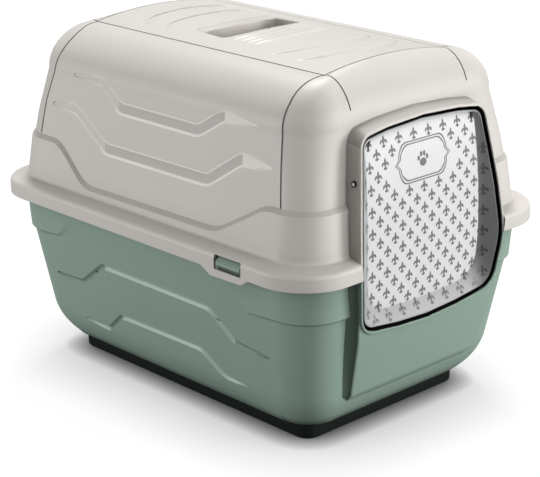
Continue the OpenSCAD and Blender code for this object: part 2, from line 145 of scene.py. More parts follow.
def smoothRun(points, cut=7):
    # Replaces each inner corner by a short arc of points.
    out = [points[0]]
    for a, p, b in zip(points, points[1:], points[2:]):
        corner = Vector(p)
        toA, toB = Vector(a) - corner, Vector(b) - corner
        start = corner + toA.normalized() * min(cut, toA.length / 3)
        end = corner + toB.normalized() * min(cut, toB.length / 3)
        for t in (0, 0.25, 0.5, 0.75, 1):
            out.append(tuple(start * (1 - t) ** 2 + corner * 2 * t * (1 - t) + end * t * t))
    out.append(points[-1])
    return out


# Sheets: a flat grid, cut along each feature's outlines, then laid over a surface


def spread(stops, step):
    out = [stops[0]]
    for a, b in zip(stops, stops[1:]):
        n = max(1, round((b - a) / step))
        out += [a + (b - a) * k / n for k in range(1, n + 1)]
    return out


def flatGrid(us, vs):
    bm = bmesh.new()
    rows = [[bm.verts.new((u, v, 0)) for u in us] for v in vs]
    for low, high in zip(rows, rows[1:]):
        for i in range(len(us) - 1):
            bm.faces.new((low[i], low[i + 1], high[i + 1], high[i]))
    return bm


def faceNear(face, box):
    xs = [v.co.x for v in face.verts]
    ys = [v.co.y for v in face.verts]
    return max(xs) >= box[0] and min(xs) <= box[2] and max(ys) >= box[1] and min(ys) <= box[3]


def faceInside(face, poly):
    c = face.calc_center_median()
    return polyInside(poly, c.x, c.y)


def crossed(face, start, along, length, across):
    # Whether the stretch of line cuts through the face and doesn't only touch it.
    offsets = [(v.co - start).dot(across) for v in face.verts]
    if min(offsets) > -1e-4 or max(offsets) < 1e-4:
        return False
    places = [(v.co - start).dot(along) for v in face.verts]
    return max(places) >= -1e-3 and min(places) <= length + 1e-3


def cutAlong(bm, poly):
    candidates = {f for f in bm.faces if faceNear(f, polyBox(poly))}
    for p, q in zip(poly, poly[1:] + poly[:1]):
        step = Vector((q[0] - p[0], q[1] - p[1], 0))
        if step.length < 1e-5:
            continue
        across = Vector((-step.y, step.x, 0)).normalized()
        along = step.normalized()
        start = Vector((p[0], p[1], 0))
        box = polyBox([p, q])
        box = (box[0] - 1e-4, box[1] - 1e-4, box[2] + 1e-4, box[3] + 1e-4)
        chosen = [f for f in candidates if f.is_valid and faceNear(f, box)]
        chosen = [f for f in chosen if crossed(f, start, along, step.length, across)]
        if not chosen:
            continue
        geom = set(chosen)
        for f in chosen:
            geom.update(f.edges)
            geom.update(f.verts)
        got = bmesh.ops.bisect_plane(bm, geom=list(geom), dist=1e-4, plane_co=start, plane_no=across)
        candidates = {f for f in candidates if f.is_valid}
        candidates.update(g for g in got["geom"] if isinstance(g, bmesh.types.BMFace))


def cutOut(bm, poly, keepInside=False):
    # Removes the faces inside an outline, or all the others.
    gone = [f for f in bm.faces if faceInside(f, poly) != keepInside]
    bmesh.ops.delete(bm, geom=gone, context="FACES")


def feature(outer, inner, depth, flank=0, floor=0, tones=(), fade=0):
    # Relief that rises from the outer outline to the inner one. depth is a number or a function of
    # (u, v). flank and floor number the materials of the slope and of what it encloses. tones holds
    # (u limit, flank, floor) for other materials along u. fade flattens the relief towards u = fade.
    tones, box = [*tones, (1e9, flank, floor)], polyBox(outer)
    return {"outer": outer, "inner": inner, "depth": depth, "box": box, "tones": tones, "fade": fade}


def inBox(box, x, y):
    return box[0] <= x <= box[2] and box[1] <= y <= box[3]


def tint(bm, features):
    toned = [f for f in features if f["tones"] != [(1e9, 0, 0)]]
    for face in bm.faces:
        c = face.calc_center_median()
        for f in toned:
            if inBox(f["box"], c.x, c.y) and polyInside(f["outer"], c.x, c.y):
                flank, floor = next((a, z) for u, a, z in f["tones"] if c.x < u)
                face.material_index = floor if polyInside(f["inner"], c.x, c.y) else flank


def reliefAt(features, u, v):
    total = 0
    for f in features:
        if not inBox(f["box"], u, v) or not polyInside(f["outer"], u, v):
            continue
        depth = f["depth"](u, v) if callable(f["depth"]) else f["depth"]
        if f["fade"]:
            depth *= 1 - min(1, abs(u / f["fade"])) ** 6
        away = polyDistance(f["outer"], u, v)
        if polyInside(f["inner"], u, v):
            total += depth
        elif away > 1e-5:
            total += depth * away / (away + polyDistance(f["inner"], u, v))
    return total


def laidSheet(us, vs, surface, features=(), holes=(), flip=False):
    # surface(u, v, depth) gives a point; depth is measured outwards.
    bm = flatGrid(us, vs)
    for f in features:
        cutAlong(bm, f["outer"])
        cutAlong(bm, f["inner"])
    for hole in holes:
        cutAlong(bm, hole)
    for hole in holes:
        cutOut(bm, hole)
    tint(bm, features)
    for vert in bm.verts:
        u, v = vert.co.x, vert.co.y
        vert.co = surface(u, v, reliefAt(features, u, v))
    if flip:
        bmesh.ops.reverse_faces(bm, faces=bm.faces)
    return bm


# Lofts, and how parts come together in one mesh


def ringLoft(rings, closed=True, flip=False):
    bm = bmesh.new()
    rows = [[bm.verts.new(p) for p in ring] for ring in rings]
    n = len(rings[0])
    for low, high in zip(rows, rows[1:]):
        for i in range(n if closed else n - 1):
            k = (i + 1) % n
            bm.faces.new((low[i], low[k], high[k], high[i]))
    if flip:
        bmesh.ops.reverse_faces(bm, faces=bm.faces)
    return bm


def capped(bm, ring, flip=False):
    bm.faces.new([bm.verts.new(p) for p in (reversed(ring) if flip else ring)])


def closedLoft(rings, bothEnds=True):
    # A loft closed at its last ring, and at its first, with its faces outwards.
    bm = ringLoft(rings)
    capped(bm, rings[-1])
    if bothEnds:
        capped(bm, rings[0], flip=True)
    bmesh.ops.recalc_face_normals(bm, faces=bm.faces)
    return bm


def bothSides(left):
    # A whole ring from its left half, which runs from the front's middle to the rear's.
    return left + [(-x, y, z) for x, y, z in reversed(left[1:-1])]


def pour(target, source, twin=False):
    # Adds source to target, with its mirror image across x = 0.
    for side in (1, -1) if twin else (1,):
        made = {}
        for v in source.verts:
            made[v] = target.verts.new((v.co.x * side, v.co.y, v.co.z))
        for f in source.faces:
            verts = [made[v] for v in f.verts]
            face = target.faces.new(verts if side > 0 else reversed(verts))
            face.material_index = f.material_index
    source.free()


def mesh(name, bm, material, weld=0.02):
    sharpAngle = math.radians(24)
    bmesh.ops.remove_doubles(bm, verts=bm.verts, dist=weld)
    for f in bm.faces:
        f.smooth = True
    for e in bm.edges:
        e.smooth = len(e.link_faces) != 2 or e.calc_face_angle(0) < sharpAngle
    bmesh.ops.scale(bm, vec=(0.001,) * 3, verts=bm.verts)
    data = bpy.data.meshes.new(name)
    bm.to_mesh(data)
    bm.free()
    obj = bpy.data.objects.new(name, data)
    bpy.context.scene.collection.objects.link(obj)
    for m in material if isinstance(material, (list, tuple)) else [material]:
        data.materials.append(m)
    return obj


# The half plan that every ring follows: front middle, corner, side, corner, rear middle. Along it, end
# and side are the half lengths in the middle of an end and a side, where u runs in millimetres. The
# other three are the u units of the stretches between them, which are wider or narrower at other levels.


def planHalf(plan):
    return plan["end"] + plan["toCorner"] + plan["corner"] + plan["fromCorner"] + plan["side"]


def ringPoint(plan, u, hx, hy, r):
    # The point at u on a rounded rectangle with half sizes hx and hy, and which way it faces.
    half = planHalf(plan)
    rear = u > half
    t = 2 * half - u if rear else u
    end, side = plan["end"], plan["side"]
    cornerStart = end + plan["toCorner"]
    past = t - cornerStart - plan["corner"]
    nx, ny = 0.0, 1.0
    if t <= end:
        x, y = t, hy
    elif t <= cornerStart:
        x, y = end + (t - end) / plan["toCorner"] * (hx - r - end), hy
    elif past <= 0:
        a = (t - cornerStart) / plan["corner"] * math.pi / 2
        nx, ny = math.sin(a), math.cos(a)
        x, y = hx - r + r * nx, hy - r + r * ny
    else:
        nx, ny = 1.0, 0.0
        x = hx
        y = side - (past - plan["fromCorner"])
        if past < plan["fromCorner"]:
            y = hy - r + (side - hy + r) * past / plan["fromCorner"]
    return (-x, y if rear else -y, -nx, ny if rear else -ny)


def outwards(plan, u):
    return ringPoint(plan, u, 200, 260, 50)[2:]


def planStops(plan, step, cornerStep):
    # The places along the half plan where a grid has its columns.
    half = planHalf(plan)
    corner = plan["end"] + plan["toCorner"]
    side = corner + plan["corner"]
    straight = side + plan["fromCorner"]
    first = spread([0, plan["end"], corner], step) + spread([corner, side], cornerStep)[1:]
    middle = spread([side, straight, 2 * half - straight, 2 * half - side], step)[1:]
    return first + middle + [2 * half - u for u in reversed(first[:-1])]


# Channels, seams and grooves


def ribbon(line, half, bevel, shares):
    # Outer and inner outlines of a channel along (u, v) points, narrowing to a blunt end each way.
    # shares are the width's shares at the points.
    blunt = 0.42
    s, e = Vector(line[0]), Vector(line[-1])
    near, last = s + (Vector(line[1]) - s) * 0.07, e + (Vector(line[-2]) - e) * 0.07
    line = [tuple(s), tuple(near), *line[1:-1], tuple(last), tuple(e)]
    shares = [0, blunt * shares[0], *shares[1:-1], blunt * shares[-1], 0]

    def sides(w):
        left, right = [], []
        for i in range(1, len(line) - 1):
            p = Vector(line[i])
            a, b = (p - Vector(line[i - 1])).normalized(), (Vector(line[i + 1]) - p).normalized()
            n = Vector((-(a + b).y, (a + b).x)).normalized()
            m = shares[i] * w / max(0.5, n.dot(Vector((-a.y, a.x))))
            left.append(tuple(p + n * m))
            right.append(tuple(p - n * m))
        return left, right

    left, right = sides(half)
    innerLeft, innerRight = sides(half - bevel)
    outer = [tuple(s)] + right + [tuple(e)] + left[::-1]
    innerStart, innerEnd = s + (near - s) * 0.6, e + (last - e) * 0.6
    return outer, [tuple(innerStart)] + innerRight + [tuple(innerEnd)] + innerLeft[::-1]


def sideChannels(channels, place):
    # One channel for each run of (y, z) points. Its tones are (y limit, flank, floor) from the front
    # backwards, and behind the second limit it keeps only the rear share of its width.
    out = []
    for points, tones in zip(channels["runs"], channels["tones"]):
        run = smoothRun(points)
        line = [(place(y, z), z) for y, z in reversed(run)]
        shares = [channels["rearShare"] if y > tones[1][0] else 1 for y, z in reversed(run)]
        outer, inner = ribbon(line, channels["width"] / 2, channels["bevel"], shares)
        limits = [(place(y, run[2][1]), flank, floor) for y, flank, floor in tones]
        out.append(feature(outer, inner, -channels["depth"], tones=limits))
    return out


def seam(line, widths, depth):
    # A narrow groove along (u, v) points, with its own width at each point.
    def outline(share):
        left, right = [], []
        for i, p in enumerate(line):
            ahead, behind = line[min(i + 1, len(line) - 1)], line[max(i - 1, 0)]
            d = (Vector(ahead) - Vector(behind)).normalized()
            n = Vector((-d.y, d.x)) * widths[i] / 2 * share
            left.append(tuple(Vector(p) + n))
            right.append(tuple(Vector(p) - n))
        return right + left[::-1]

    return feature(outline(1), outline(0.45), -depth, 1, 1)


def groove(a, b):
    # A fine straight groove from a to b, at the edge of the roof panel.
    width, bevel, depth = 1.7, 0.45, 1.3
    d = (Vector(b) - Vector(a)).normalized()
    n = Vector((-d.y, d.x))

    def box(w, cut):
        p, q = Vector(a) + d * cut, Vector(b) - d * cut
        return [tuple(p - n * w), tuple(q - n * w), tuple(q + n * w), tuple(p + n * w)]

    return feature(box(width / 2, 0), box(width / 2 - bevel, bevel), -depth, 1, 1)


# The doorway: its outline is shared by the hood's frame, the tray's apron and the door

doorway = {
    "width": 229.0,
    "topWidth": 192.0,
    "lowWidth": 211.0,
    "top": 354.0,
    "sill": 129.5,
    "reach": 266.4,  # how far the frame's face stands from the middle, at the rim
    "lip": 3.0,
    "flare": 4.0,
    "hoodFace": 215.5,  # where the flare ends, inside the hood's wall
    "back": 226.0,
    "sillReach": 251.5,
    "footHalf": 117.0,  # half the width that the frame covers at the rim
}


def doorwayCorners():
    w, tw, lw, top, sill = (doorway[k] for k in ("width", "topWidth", "lowWidth", "top", "sill"))
    return mirrored(
        [
            (0, sill, 0),
            (lw * 0.22, sill + 2.7, 120),
            (lw / 2, sill + 10.3, 24),
            (w / 2, rimZ + 1.5, 150),
            ((w - (w - tw) * 0.31) / 2, rimZ + (top - rimZ) * 0.39, 300),
            (tw / 2, top - 7.8, 16),
            (tw * 0.29, top - 2.6, 120),
            (0, top, 0),
        ]
    )


def frameReach(z):
    # How far the frame's face stands out at height z: it leans back above and below the rim.
    d = z - rimZ
    bend = math.sqrt(d * d + 100) - 10
    back = 0.1 * bend + 0.00033 * d * d if d > 0 else 0.065 * bend + 0.0008 * d * d
    return doorway["reach"] - back


# The hood. Its materials are numbered 0 plain, 1 seam in painted shade, 2 ledge in painted shade, 3 edge in
# painted highlight, 4 channel in painted shade, 5 painted glint

hoodShape = {
    "reach": 20.2,  # how far the rim stands out past the wall, at the sides and at the ends
    "reachEnd": 18.7,
    "draft": 8.1,  # degrees
    "height": 207.5,
    "shoulderHeight": 49.0,
    "shoulderWide": 65.0,
    "shoulderEnd": 39.0,
    "camber": 8.0,
    "corner": 38.0,
    "step": 76.0,  # height of the proud band's crest at the ends and in its dips
    "stepLow": 33.0,
    "proud": 3.4,
    "wall": 2.4,
    "seamWidth": 2.3,
    "seamDepth": 0.8,
    "openingGap": 0.6,
}
# the corner seams' places as (height above the band's crest, y)
seamFront = [(0, 201.8), (40, 196.4), (79, 191.7), (104, 190), (115, 187.5), (123, 186)]
seamRear = [(0, 202), (40, 196.6), (55, 192), (77, 184.5), (100, 179.3), (112, 178), (119, 180), (123, 185)]
hoodChannels = {
    "width": 15.5,
    "bevel": 2.8,
    "depth": 1.1,
    "rearShare": 0.8,
    "runs": [
        [(150, 356), (97, 357), (63, 332.5), (-67, 332.7), (-104.5, 356), (-157, 355)],
        [(184, 316.6), (141, 317.5), (82, 283), (-88.5, 284), (-137, 316.5), (-183.5, 315.8)],
    ],
    "tones": [[(-106, 5, 3), (66, 5, 4), (199, 5, 0)], [(-139, 5, 3), (85, 5, 4), (199, 5, 0)]],
}
grip = {
    "width": 118.0,
    "length": 43.0,
    "depth": 28.0,
    "front": 1.5,
    "bow": 8.0,
    "ridges": 4,
    "pitch": 11.0,
    "ridgeHeight": 1.3,
}
# shallow steps across the roof: (y at the sides, bow, half width, the way that each faces)
roofSteps = [(-85, 28, 80, -1), (-127, 25, 80, -1), (121, -6, 80, 1), (87, 1, 77, 1)]
catch = {"y": -153.5, "width": 41.0, "height": 16.0, "drop": 7.5}
hoodPlan = {"end": 92.9, "toCorner": 40.0, "corner": 60.0, "fromCorner": 44.0, "side": 160.0}

hoodHalf = planHalf(hoodPlan)
hoodX, hoodY = rimX - hoodShape["reach"], rimY - hoodShape["reachEnd"]
stepZ = rimZ + hoodShape["step"]
roofZ = rimZ + hoodShape["height"] - hoodShape["camber"]
shoulderZ = roofZ - hoodShape["shoulderHeight"]
shoulderArc = 57.0 * math.pi / 2
roofV = shoulderZ + shoulderArc


def hoodInset(z):
    return (z - rimZ) * tan(hoodShape["draft"])


def hoodRadius(z):
    return hoodShape["corner"] + max(0, stepZ - z) * 0.12 + max(0, z - stepZ - 22) * 0.19


panelX = hoodX - hoodInset(shoulderZ) - hoodShape["shoulderWide"]
panelY = hoodY - hoodInset(shoulderZ) - hoodShape["shoulderEnd"]


def roofAt(x):
    return roofZ + hoodShape["camber"] * (1 - (x / panelX) ** 2)


def makeRimSection():
    # (share of the reach, height), upwards: skirt, rounded edge, sloping shelf, fillet.
    reach = hoodShape["reach"] + 3
    section = [(1.0, 0.6), (1.0, rim["skirt"])]
    share = rim["round"] / reach
    for k in range(1, 9):
        a = math.radians(90 - rim["slope"]) * k / 8
        section.append((1 - share * (1 - math.cos(a)), rim["skirt"] + rim["round"] * math.sin(a)))
    shelfZ = section[-1][1] + (section[-1][0] - rim["shelf"]) * reach * tan(rim["slope"])
    for k in range(0, 6):
        a = math.pi / 2 * k / 5
        section.append((rim["shelf"] * (1 - math.sin(a)), shelfZ + rim["fillet"] * (1 - math.cos(a))))
    return section


def makeRimLevels():
    # The grid's v at each point of the section, so that the last is the height where the wall starts.
    levels = [0.0]
    for (e1, z1), (e2, z2) in zip(rimSection, rimSection[1:]):
        levels.append(levels[-1] + max(0.4, math.hypot((e1 - e2) * 16, z1 - z2)))
    return [bandTop - levels[-1] + v for v in levels]


rimSection = makeRimSection()
bandTop = rimZ + rimSection[-1][1]
rimLevels = makeRimLevels()
rimSteps = list(zip(zip(rimSection, rimLevels), zip(rimSection[1:], rimLevels[1:])))


def rimAt(v):
    # Share of the reach and height at the grid's v.
    for (s1, v1), (s2, v2) in rimSteps:
        if v <= v2 + 1e-6:
            t = max(0, (v - v1) / (v2 - v1))
            return s1[0] + (s2[0] - s1[0]) * t, rimZ + s1[1] + (s2[1] - s1[1]) * t
    return 0.0, bandTop


def rimLevelAt(z):
    for (s1, v1), (s2, v2) in rimSteps:
        if z <= rimZ + s2[1]:
            return v1 + (v2 - v1) * max(0, (z - rimZ - s1[1]) / max(1e-6, s2[1] - s1[1]))
    return z


def shoulderTilt(v):
    return clamp((v - shoulderZ) / shoulderArc) * math.pi / 2


def hoodRing(v, depth=0.0):
    # Half sizes and corner radius of the ring at level v, its height, and how far it leans inwards.
    if v < bandTop - 1e-4:
        e, z = rimAt(v)
        hx = (hoodX - hoodInset(z) + depth) * (1 - e) + rimX * e
        hy = (hoodY - hoodInset(z) + depth) * (1 - e) + rimY * e
        return hx, hy, (hoodRadius(z) + depth) * (1 - e) + rim["corner"] * e, z, None
    if v <= shoulderZ:
        return hoodX - hoodInset(v), hoodY - hoodInset(v), hoodRadius(v), v, 0
    a = shoulderTilt(v)
    c = math.cos(a)
    hx, hy = panelX + hoodShape["shoulderWide"] * c, panelY + hoodShape["shoulderEnd"] * c
    return hx, hy, 0.01 + hoodRadius(shoulderZ) * c, shoulderZ + hoodShape["shoulderHeight"] * math.sin(a), a


def hoodSurface(u, v, depth):
    hx, hy, r, z, tilt = hoodRing(v, depth)
    x, y, nx, ny = ringPoint(hoodPlan, u, hx, hy, r)
    if tilt is None:
        return Vector((x, y, z))
    c = math.cos(tilt)
    z += hoodShape["camber"] * (1 - c) ** 2 * (1 - (x / hx) ** 2)
    return Vector((x + nx * depth * c, y + ny * depth * c, z + depth * math.sin(tilt)))


def hoodLiningSurface(u, v, depth):
    # One wall thickness inside the hood: sideways at the walls and upwards under the shelf and the roof.
    p = hoodSurface(u, v, depth)
    nx, ny = outwards(hoodPlan, u)
    if v < bandTop:
        up = clamp((rimAt(v)[1] - rimZ - 8.6) / 14)
        side = 1 - up * 0.4
    else:
        side, up = math.cos(shoulderTilt(v)), math.sin(shoulderTilt(v))
    return p - Vector((nx * side, ny * side, up)) * hoodShape["wall"]


def placeU(y, v):
    # The grid's u for a place y along the side or corner at level v, and the u units in 1 mm there.
    hy, r = hoodRing(v)[1:3]
    start, far = hoodPlan["end"] + hoodPlan["toCorner"], abs(y)
    if far > hy - r:
        perTurn = hoodPlan["corner"] / (math.pi / 2)
        u = start + perTurn * math.acos(clamp((far - hy + r) / r, -1))
        scale = perTurn / max(r, 2)
    elif far > hoodPlan["side"]:
        scale = hoodPlan["fromCorner"] / (hy - r - hoodPlan["side"])
        u = start + hoodPlan["corner"] + (hy - r - far) * scale
    else:
        u, scale = hoodHalf - far, 1
    return (u if y < 0 else 2 * hoodHalf - u), scale


def frontU(x, z):
    # The grid's u for a place x across the front at height z.
    e = rimAt(z)[0] if z < bandTop else 0
    hx = (hoodX - hoodInset(min(z, shoulderZ))) * (1 - e) + rimX * e
    r = hoodRadius(min(z, shoulderZ)) * (1 - e) + rim["corner"] * e
    x, end = abs(x), hoodPlan["end"]
    return x if x <= end else end + (x - end) / (hx - r - end) * hoodPlan["toCorner"]


def frontV(z):
    if z < bandTop:
        return rimLevelAt(z)
    return z if z <= shoulderZ else shoulderZ + (z - shoulderZ) * 1.16


def halfOpening(gap):
    # The doorway's half outline in the hood's grid, closed in front of the middle.
    points = [p for p in rounded(grown(doorwayCorners(), gap), 6) if p[0] <= 1e-6 and p[1] > rimZ - 8]
    points.sort(key=lambda p: -p[1])
    line = [(-3.0, points[0][1])] + [(frontU(x, z), frontV(z)) for x, z in points]
    low = rimLevels[0] - 5
    line += [(line[-1][0], low), (-3.0, low)]
    return line[::-1]


def catchWindow():
    low, high = rimLevelAt(rimZ + 1), rimLevelAt(rimZ + 1 + catch["height"])
    front, rear = (placeU(catch["y"] + side * catch["width"] / 2, low)[0] for side in (-1, 1))
    return rounded([(front, low, 1.6), (rear, low, 1.6), (rear, high, 1.6), (front, high, 1.6)], 4)


def proudBand(flank=0):
    # The wall's lower part stands proud, up to a crest that dips along each side.
    end = 2 * hoodHalf
    low = rimZ + hoodShape["stepLow"] + 2.6
    dip = [(placeU(y, z)[0], z) for y, z in ((-181, stepZ), (-112, low), (113, low - 2), (165, stepZ - 1))]
    crest = smoothRun([(-5, stepZ), *dip, (end + 5, stepZ)], 14)
    under = [(end + 5, -60), (-5, -60)]
    inner = [(u - (5 if u < 0 else 0), v - 5.0) for u, v in crest] + under
    return feature((crest + under)[::-1], inner[::-1], hoodShape["proud"], flank)


def cornerSeam(path, side):
    # A seam down the hood's corner from the roof to the step.
    count = 28
    line, widths = [], []
    for k in range(count + 1):
        v = stepZ + (roofV - stepZ) * k / count
        u, scale = placeU(side * between(path, hoodRing(v)[3] - stepZ), v)
        line.append((u, v))
        widths.append(hoodShape["seamWidth"] * scale)
    line.append((line[-1][0], roofV + 6))
    widths.append(widths[-1])
    if side > 0:
        line, widths = line[::-1], widths[::-1]
    return seam(line, widths, hoodShape["seamDepth"])


def hoodStops():
    return planStops(hoodPlan, 3.6, 3.4)


def shoulderStops(count):
    return [shoulderZ + shoulderArc * k / count for k in range(1, count + 1)]


def hoodWall(holes):
    levels = rimLevels[:-1] + spread([bandTop, stepZ, shoulderZ], 3.6) + shoulderStops(26)
    # the band's ledge takes material 2, painted shade
    features = [proudBand(2), *sideChannels(hoodChannels, lambda y, z: placeU(y, z)[0])]
    grooveU = hoodPlan["end"] - 1.4
    for u in (grooveU, 2 * hoodHalf - grooveU):
        features.append(groove((u, shoulderZ + 22), (u, roofV + 6)))
    features += [cornerSeam(seamFront, -1), cornerSeam(seamRear, 1)]
    return laidSheet(hoodStops(), levels, hoodSurface, features, holes, flip=True)


def gripRidge(k):
    # The k-th of the arched ridges in front of the grip.
    half = grip["width"] / 2
    yEnd = grip["front"] - (k + 0.3) * grip["pitch"]

    def arched(half, w):
        upper, lower = [], []
        for i in range(13):
            x = -half + (half + 6) * i / 12
            y = yEnd - grip["bow"] * (1 - (x / half) ** 2)
            lower.append((x, y - w))
            upper.append((x, y + w))
        return lower + upper[::-1]

    return feature(arched(half, 3.2), arched(half - 1.4, 0.7), grip["ridgeHeight"], fade=half + 3)


def roofStep(yEnd, bow, half, sign):
    line = []
    for k in range(15):
        x = -half + (half + 6) * k / 14
        line.append((x, yEnd - bow * (1 - (x / half) ** 2)))
    far = [(x, y + sign * (17 * max(0, 1 - (x / half) ** 4) + 0.2)) for x, y in line]
    near = [(x * 0.985, y + sign * 2.0) for x, y in line]
    farIn = [(x * 0.97, y - sign * 0.15) for x, y in far]
    outer, inner = line + far[::-1], near + farIn[::-1]
    if sign < 0:
        outer, inner = outer[::-1], inner[::-1]
    return feature(outer, inner, -1.1, fade=half)


def gripCorners():
    half, front, length, bow = grip["width"] / 2, grip["front"], grip["length"], grip["bow"]
    return mirrored(
        [
            (0, front - bow, 0),
            (half * 0.5, front - bow * 0.85, 60),
            (half, front, 6),
            (half - 4, front + length, 8),
            (half * 0.5, front + length - bow * 0.85, 60),
            (0, front + length - bow, 0),
        ]
    )


def gripMouth(grow, drop, ease):
    # The mouth's edge slopes in from further away behind the grip, by ease.
    ring = []
    for x, y in rounded(grown(gripCorners(), grow), 8):
        y += ease * clamp((y - grip["front"] - 12) / (grip["length"] - 14))
        ring.append((x, y, roofAt(x) - drop))
    return ring


gripMouths = [gripMouth(2.6, 0, 10), gripMouth(1.4, 0.35, 6), gripMouth(0.5, 1.1, 2.5), gripMouth(0, 2.6, 0)]
gripFloor = roofZ + hoodShape["camber"] - grip["depth"]


def roofPanel():
    features = [groove((-panelX + 1.1, -panelY - 6), (-panelX + 1.1, panelY + 6))]
    for y in (-panelY + 1.2, panelY - 1.2):
        features.append(groove((-panelX - 6, y), (6, y)))
    features += [gripRidge(k) for k in range(1, grip["ridges"] + 1)]
    features += [roofStep(*values) for values in roofSteps]
    xs = [-x for x in reversed(spread([0, panelX], 3.0))]
    ys = spread([-panelY, panelY], 3.4)
    mouth = [p[:2] for p in gripMouths[0]]
    return laidSheet(xs, ys, lambda x, y, depth: Vector((x, y, roofAt(x) + depth)), features, [mouth])


def gripWell():
    rings = list(gripMouths)
    for grow, z in ((-1.0, gripFloor + 4), (-2.0, gripFloor + 1.2), (-4.0, gripFloor)):
        rings.append([(x, y, z) for x, y in rounded(grown(gripCorners(), grow), 8)])
    well = ringLoft(rings, flip=True)
    capped(well, rings[-1])
    # the faces round the grip's mouth take material 2, painted shade
    for f in well.faces:
        if f.calc_center_median().z > roofZ - 3:
            f.material_index = 2
    return well


def hoodLining(holes):
    levels = rimLevels[:-1:3] + spread([bandTop, shoulderZ], 14) + shoulderStops(9)
    return laidSheet(planStops(hoodPlan, 12, 7), levels, hoodLiningSurface, [proudBand()], holes)


def rimUnderside():
    outer, under, inner, lining = [], [], [], []
    wall = hoodShape["wall"]
    for u in hoodStops():
        if u > frontU(doorway["footHalf"], rimZ + 2):
            nx, ny = outwards(hoodPlan, u)
            x, y, z = hoodSurface(u, rimLevels[0], 0)
            outer.append((x, y, z))
            under.append((x - nx * 0.5, y - ny * 0.5, rimZ))
            inner.append((x - nx * wall, y - ny * wall, rimZ))
            lining.append((x - nx * wall, y - ny * wall, rimZ + 1))
    return ringLoft([outer, under, inner, lining], closed=False)


def gripBelow():
    return rounded(grown(gripCorners(), hoodShape["wall"]), 3)


def roofLining():
    xs = [-x for x in reversed(spread([0, panelX], 24))]
    ys = spread([-panelY, panelY], 60)
    wall = hoodShape["wall"]
    return laidSheet(xs, ys, lambda x, y, _: Vector((x, y, roofAt(x) - wall)), holes=[gripBelow()], flip=True)


def gripUnderside():
    rings = [[(x, y, z) for x, y in gripBelow()] for z in (roofZ - 2, gripFloor - hoodShape["wall"])]
    under = ringLoft(rings)
    capped(under, rings[1], flip=True)
    return under


def windowReveal(window):
    outer, inner = [], []
    for u, v in window:
        p = hoodSurface(u, v, 0)
        outer.append(tuple(p))
        inner.append((p.x + hoodShape["wall"], p.y, p.z - (0.6 if p.z > rimZ + 12 else 0)))
    return ringLoft([outer, inner], flip=True)


def catchTab():
    # The lip that hangs from the rim over each catch.
    y, low = catch["y"], rimZ - catch["drop"]
    outline = [
        (y + 42, rimZ + 1.2),
        (y + 42, rimZ),
        (y + 40, rimZ - 0.6),
        (y + 27, low + 0.3),
        (y + 24, low),
        (y - 18, low + 0.8),
        (y - 21, low + 1.2),
        (y - 30, rimZ - 0.4),
        (y - 32, rimZ),
        (y - 32, rimZ + 1.2),
    ]
    return closedLoft([[(x, py, pz) for py, pz in outline] for x in (-rimX + 0.01, -rimX + 2.4)])


def buildHood(materials):
    total = bmesh.new()
    window = catchWindow()
    holes = [halfOpening(hoodShape["openingGap"]), window]
    pour(total, hoodWall(holes), twin=True)
    pour(total, roofPanel(), twin=True)
    pour(total, gripWell())
    pour(total, hoodLining(holes), twin=True)
    pour(total, rimUnderside(), twin=True)
    pour(total, roofLining(), twin=True)
    pour(total, gripUnderside())
    pour(total, windowReveal(window), twin=True)
    pour(total, catchTab(), twin=True)
    return mesh("hoodShell", total, materials)


# The doorway's frame: its upper part belongs to the hood and its lower part to the tray. In the upper part,
# material 0 is plain, 1 the dark gap in painted shade, 2 the fillet in painted shade and 3 the ledge behind
# it in painted shade


def frameRings():
    corners = doorwayCorners()
    lip, flare = doorway["lip"], doorway["flare"]
    rings = [[(x, -doorway["back"], z) for x, z in rounded(corners)]]
    face = ((0.0, 1.6), (0.35, 0.35), (1.0, 0.0), (lip - 1.0, 0.0), (lip - 0.3, 0.35), (lip, 1.2))
    for grow, back in face:
        rings.append([(x, back - frameReach(z), z) for x, z in rounded(grown(corners, grow))])
    for t in (0.15, 0.35, 0.55, 0.75, 1.0):
        ring = []
        for x, z in rounded(grown(corners, lip + flare * t**1.4)):
            lift = 5 * t * clamp((z - rimZ - 60) / 60)
            front = frameReach(z)
            ring.append((x, -(front + (doorway["hoodFace"] - front) * t), z + lift))
        rings.append(ring)
    return rings


def frameHalf(keepUpper, cutZ, jamb):
    # jamb numbers the material inside the doorway, which is near-black painted shade.
    rings = frameRings()
    bm = ringLoft(rings)
    n = len(rings[0])
    bm.faces.ensure_lookup_table()
    for f in bm.faces[:n]:
        f.material_index = jamb
    if keepUpper:
        # above the doorway the flare is a fillet in painted shade: three rows of faces in its shade, then one
        # in the ledge's painted shade
        first, dark, rows = 6 * n, 3 * n, 4 * n
        for i, f in enumerate(bm.faces[first : first + rows]):
            f.normal_update()
            if abs(f.normal.z) > 0.25 and f.calc_center_median().z > rimZ + 90:
                f.material_index = 2 if i < dark else 3
    bmesh.ops.bisect_plane(
        bm,
        geom=list(bm.verts) + list(bm.edges) + list(bm.faces),
        dist=1e-4,
        plane_co=(0, 0, cutZ),
        plane_no=(0, 0, 1),
        clear_inner=keepUpper,
        clear_outer=not keepUpper,
    )
    return bm
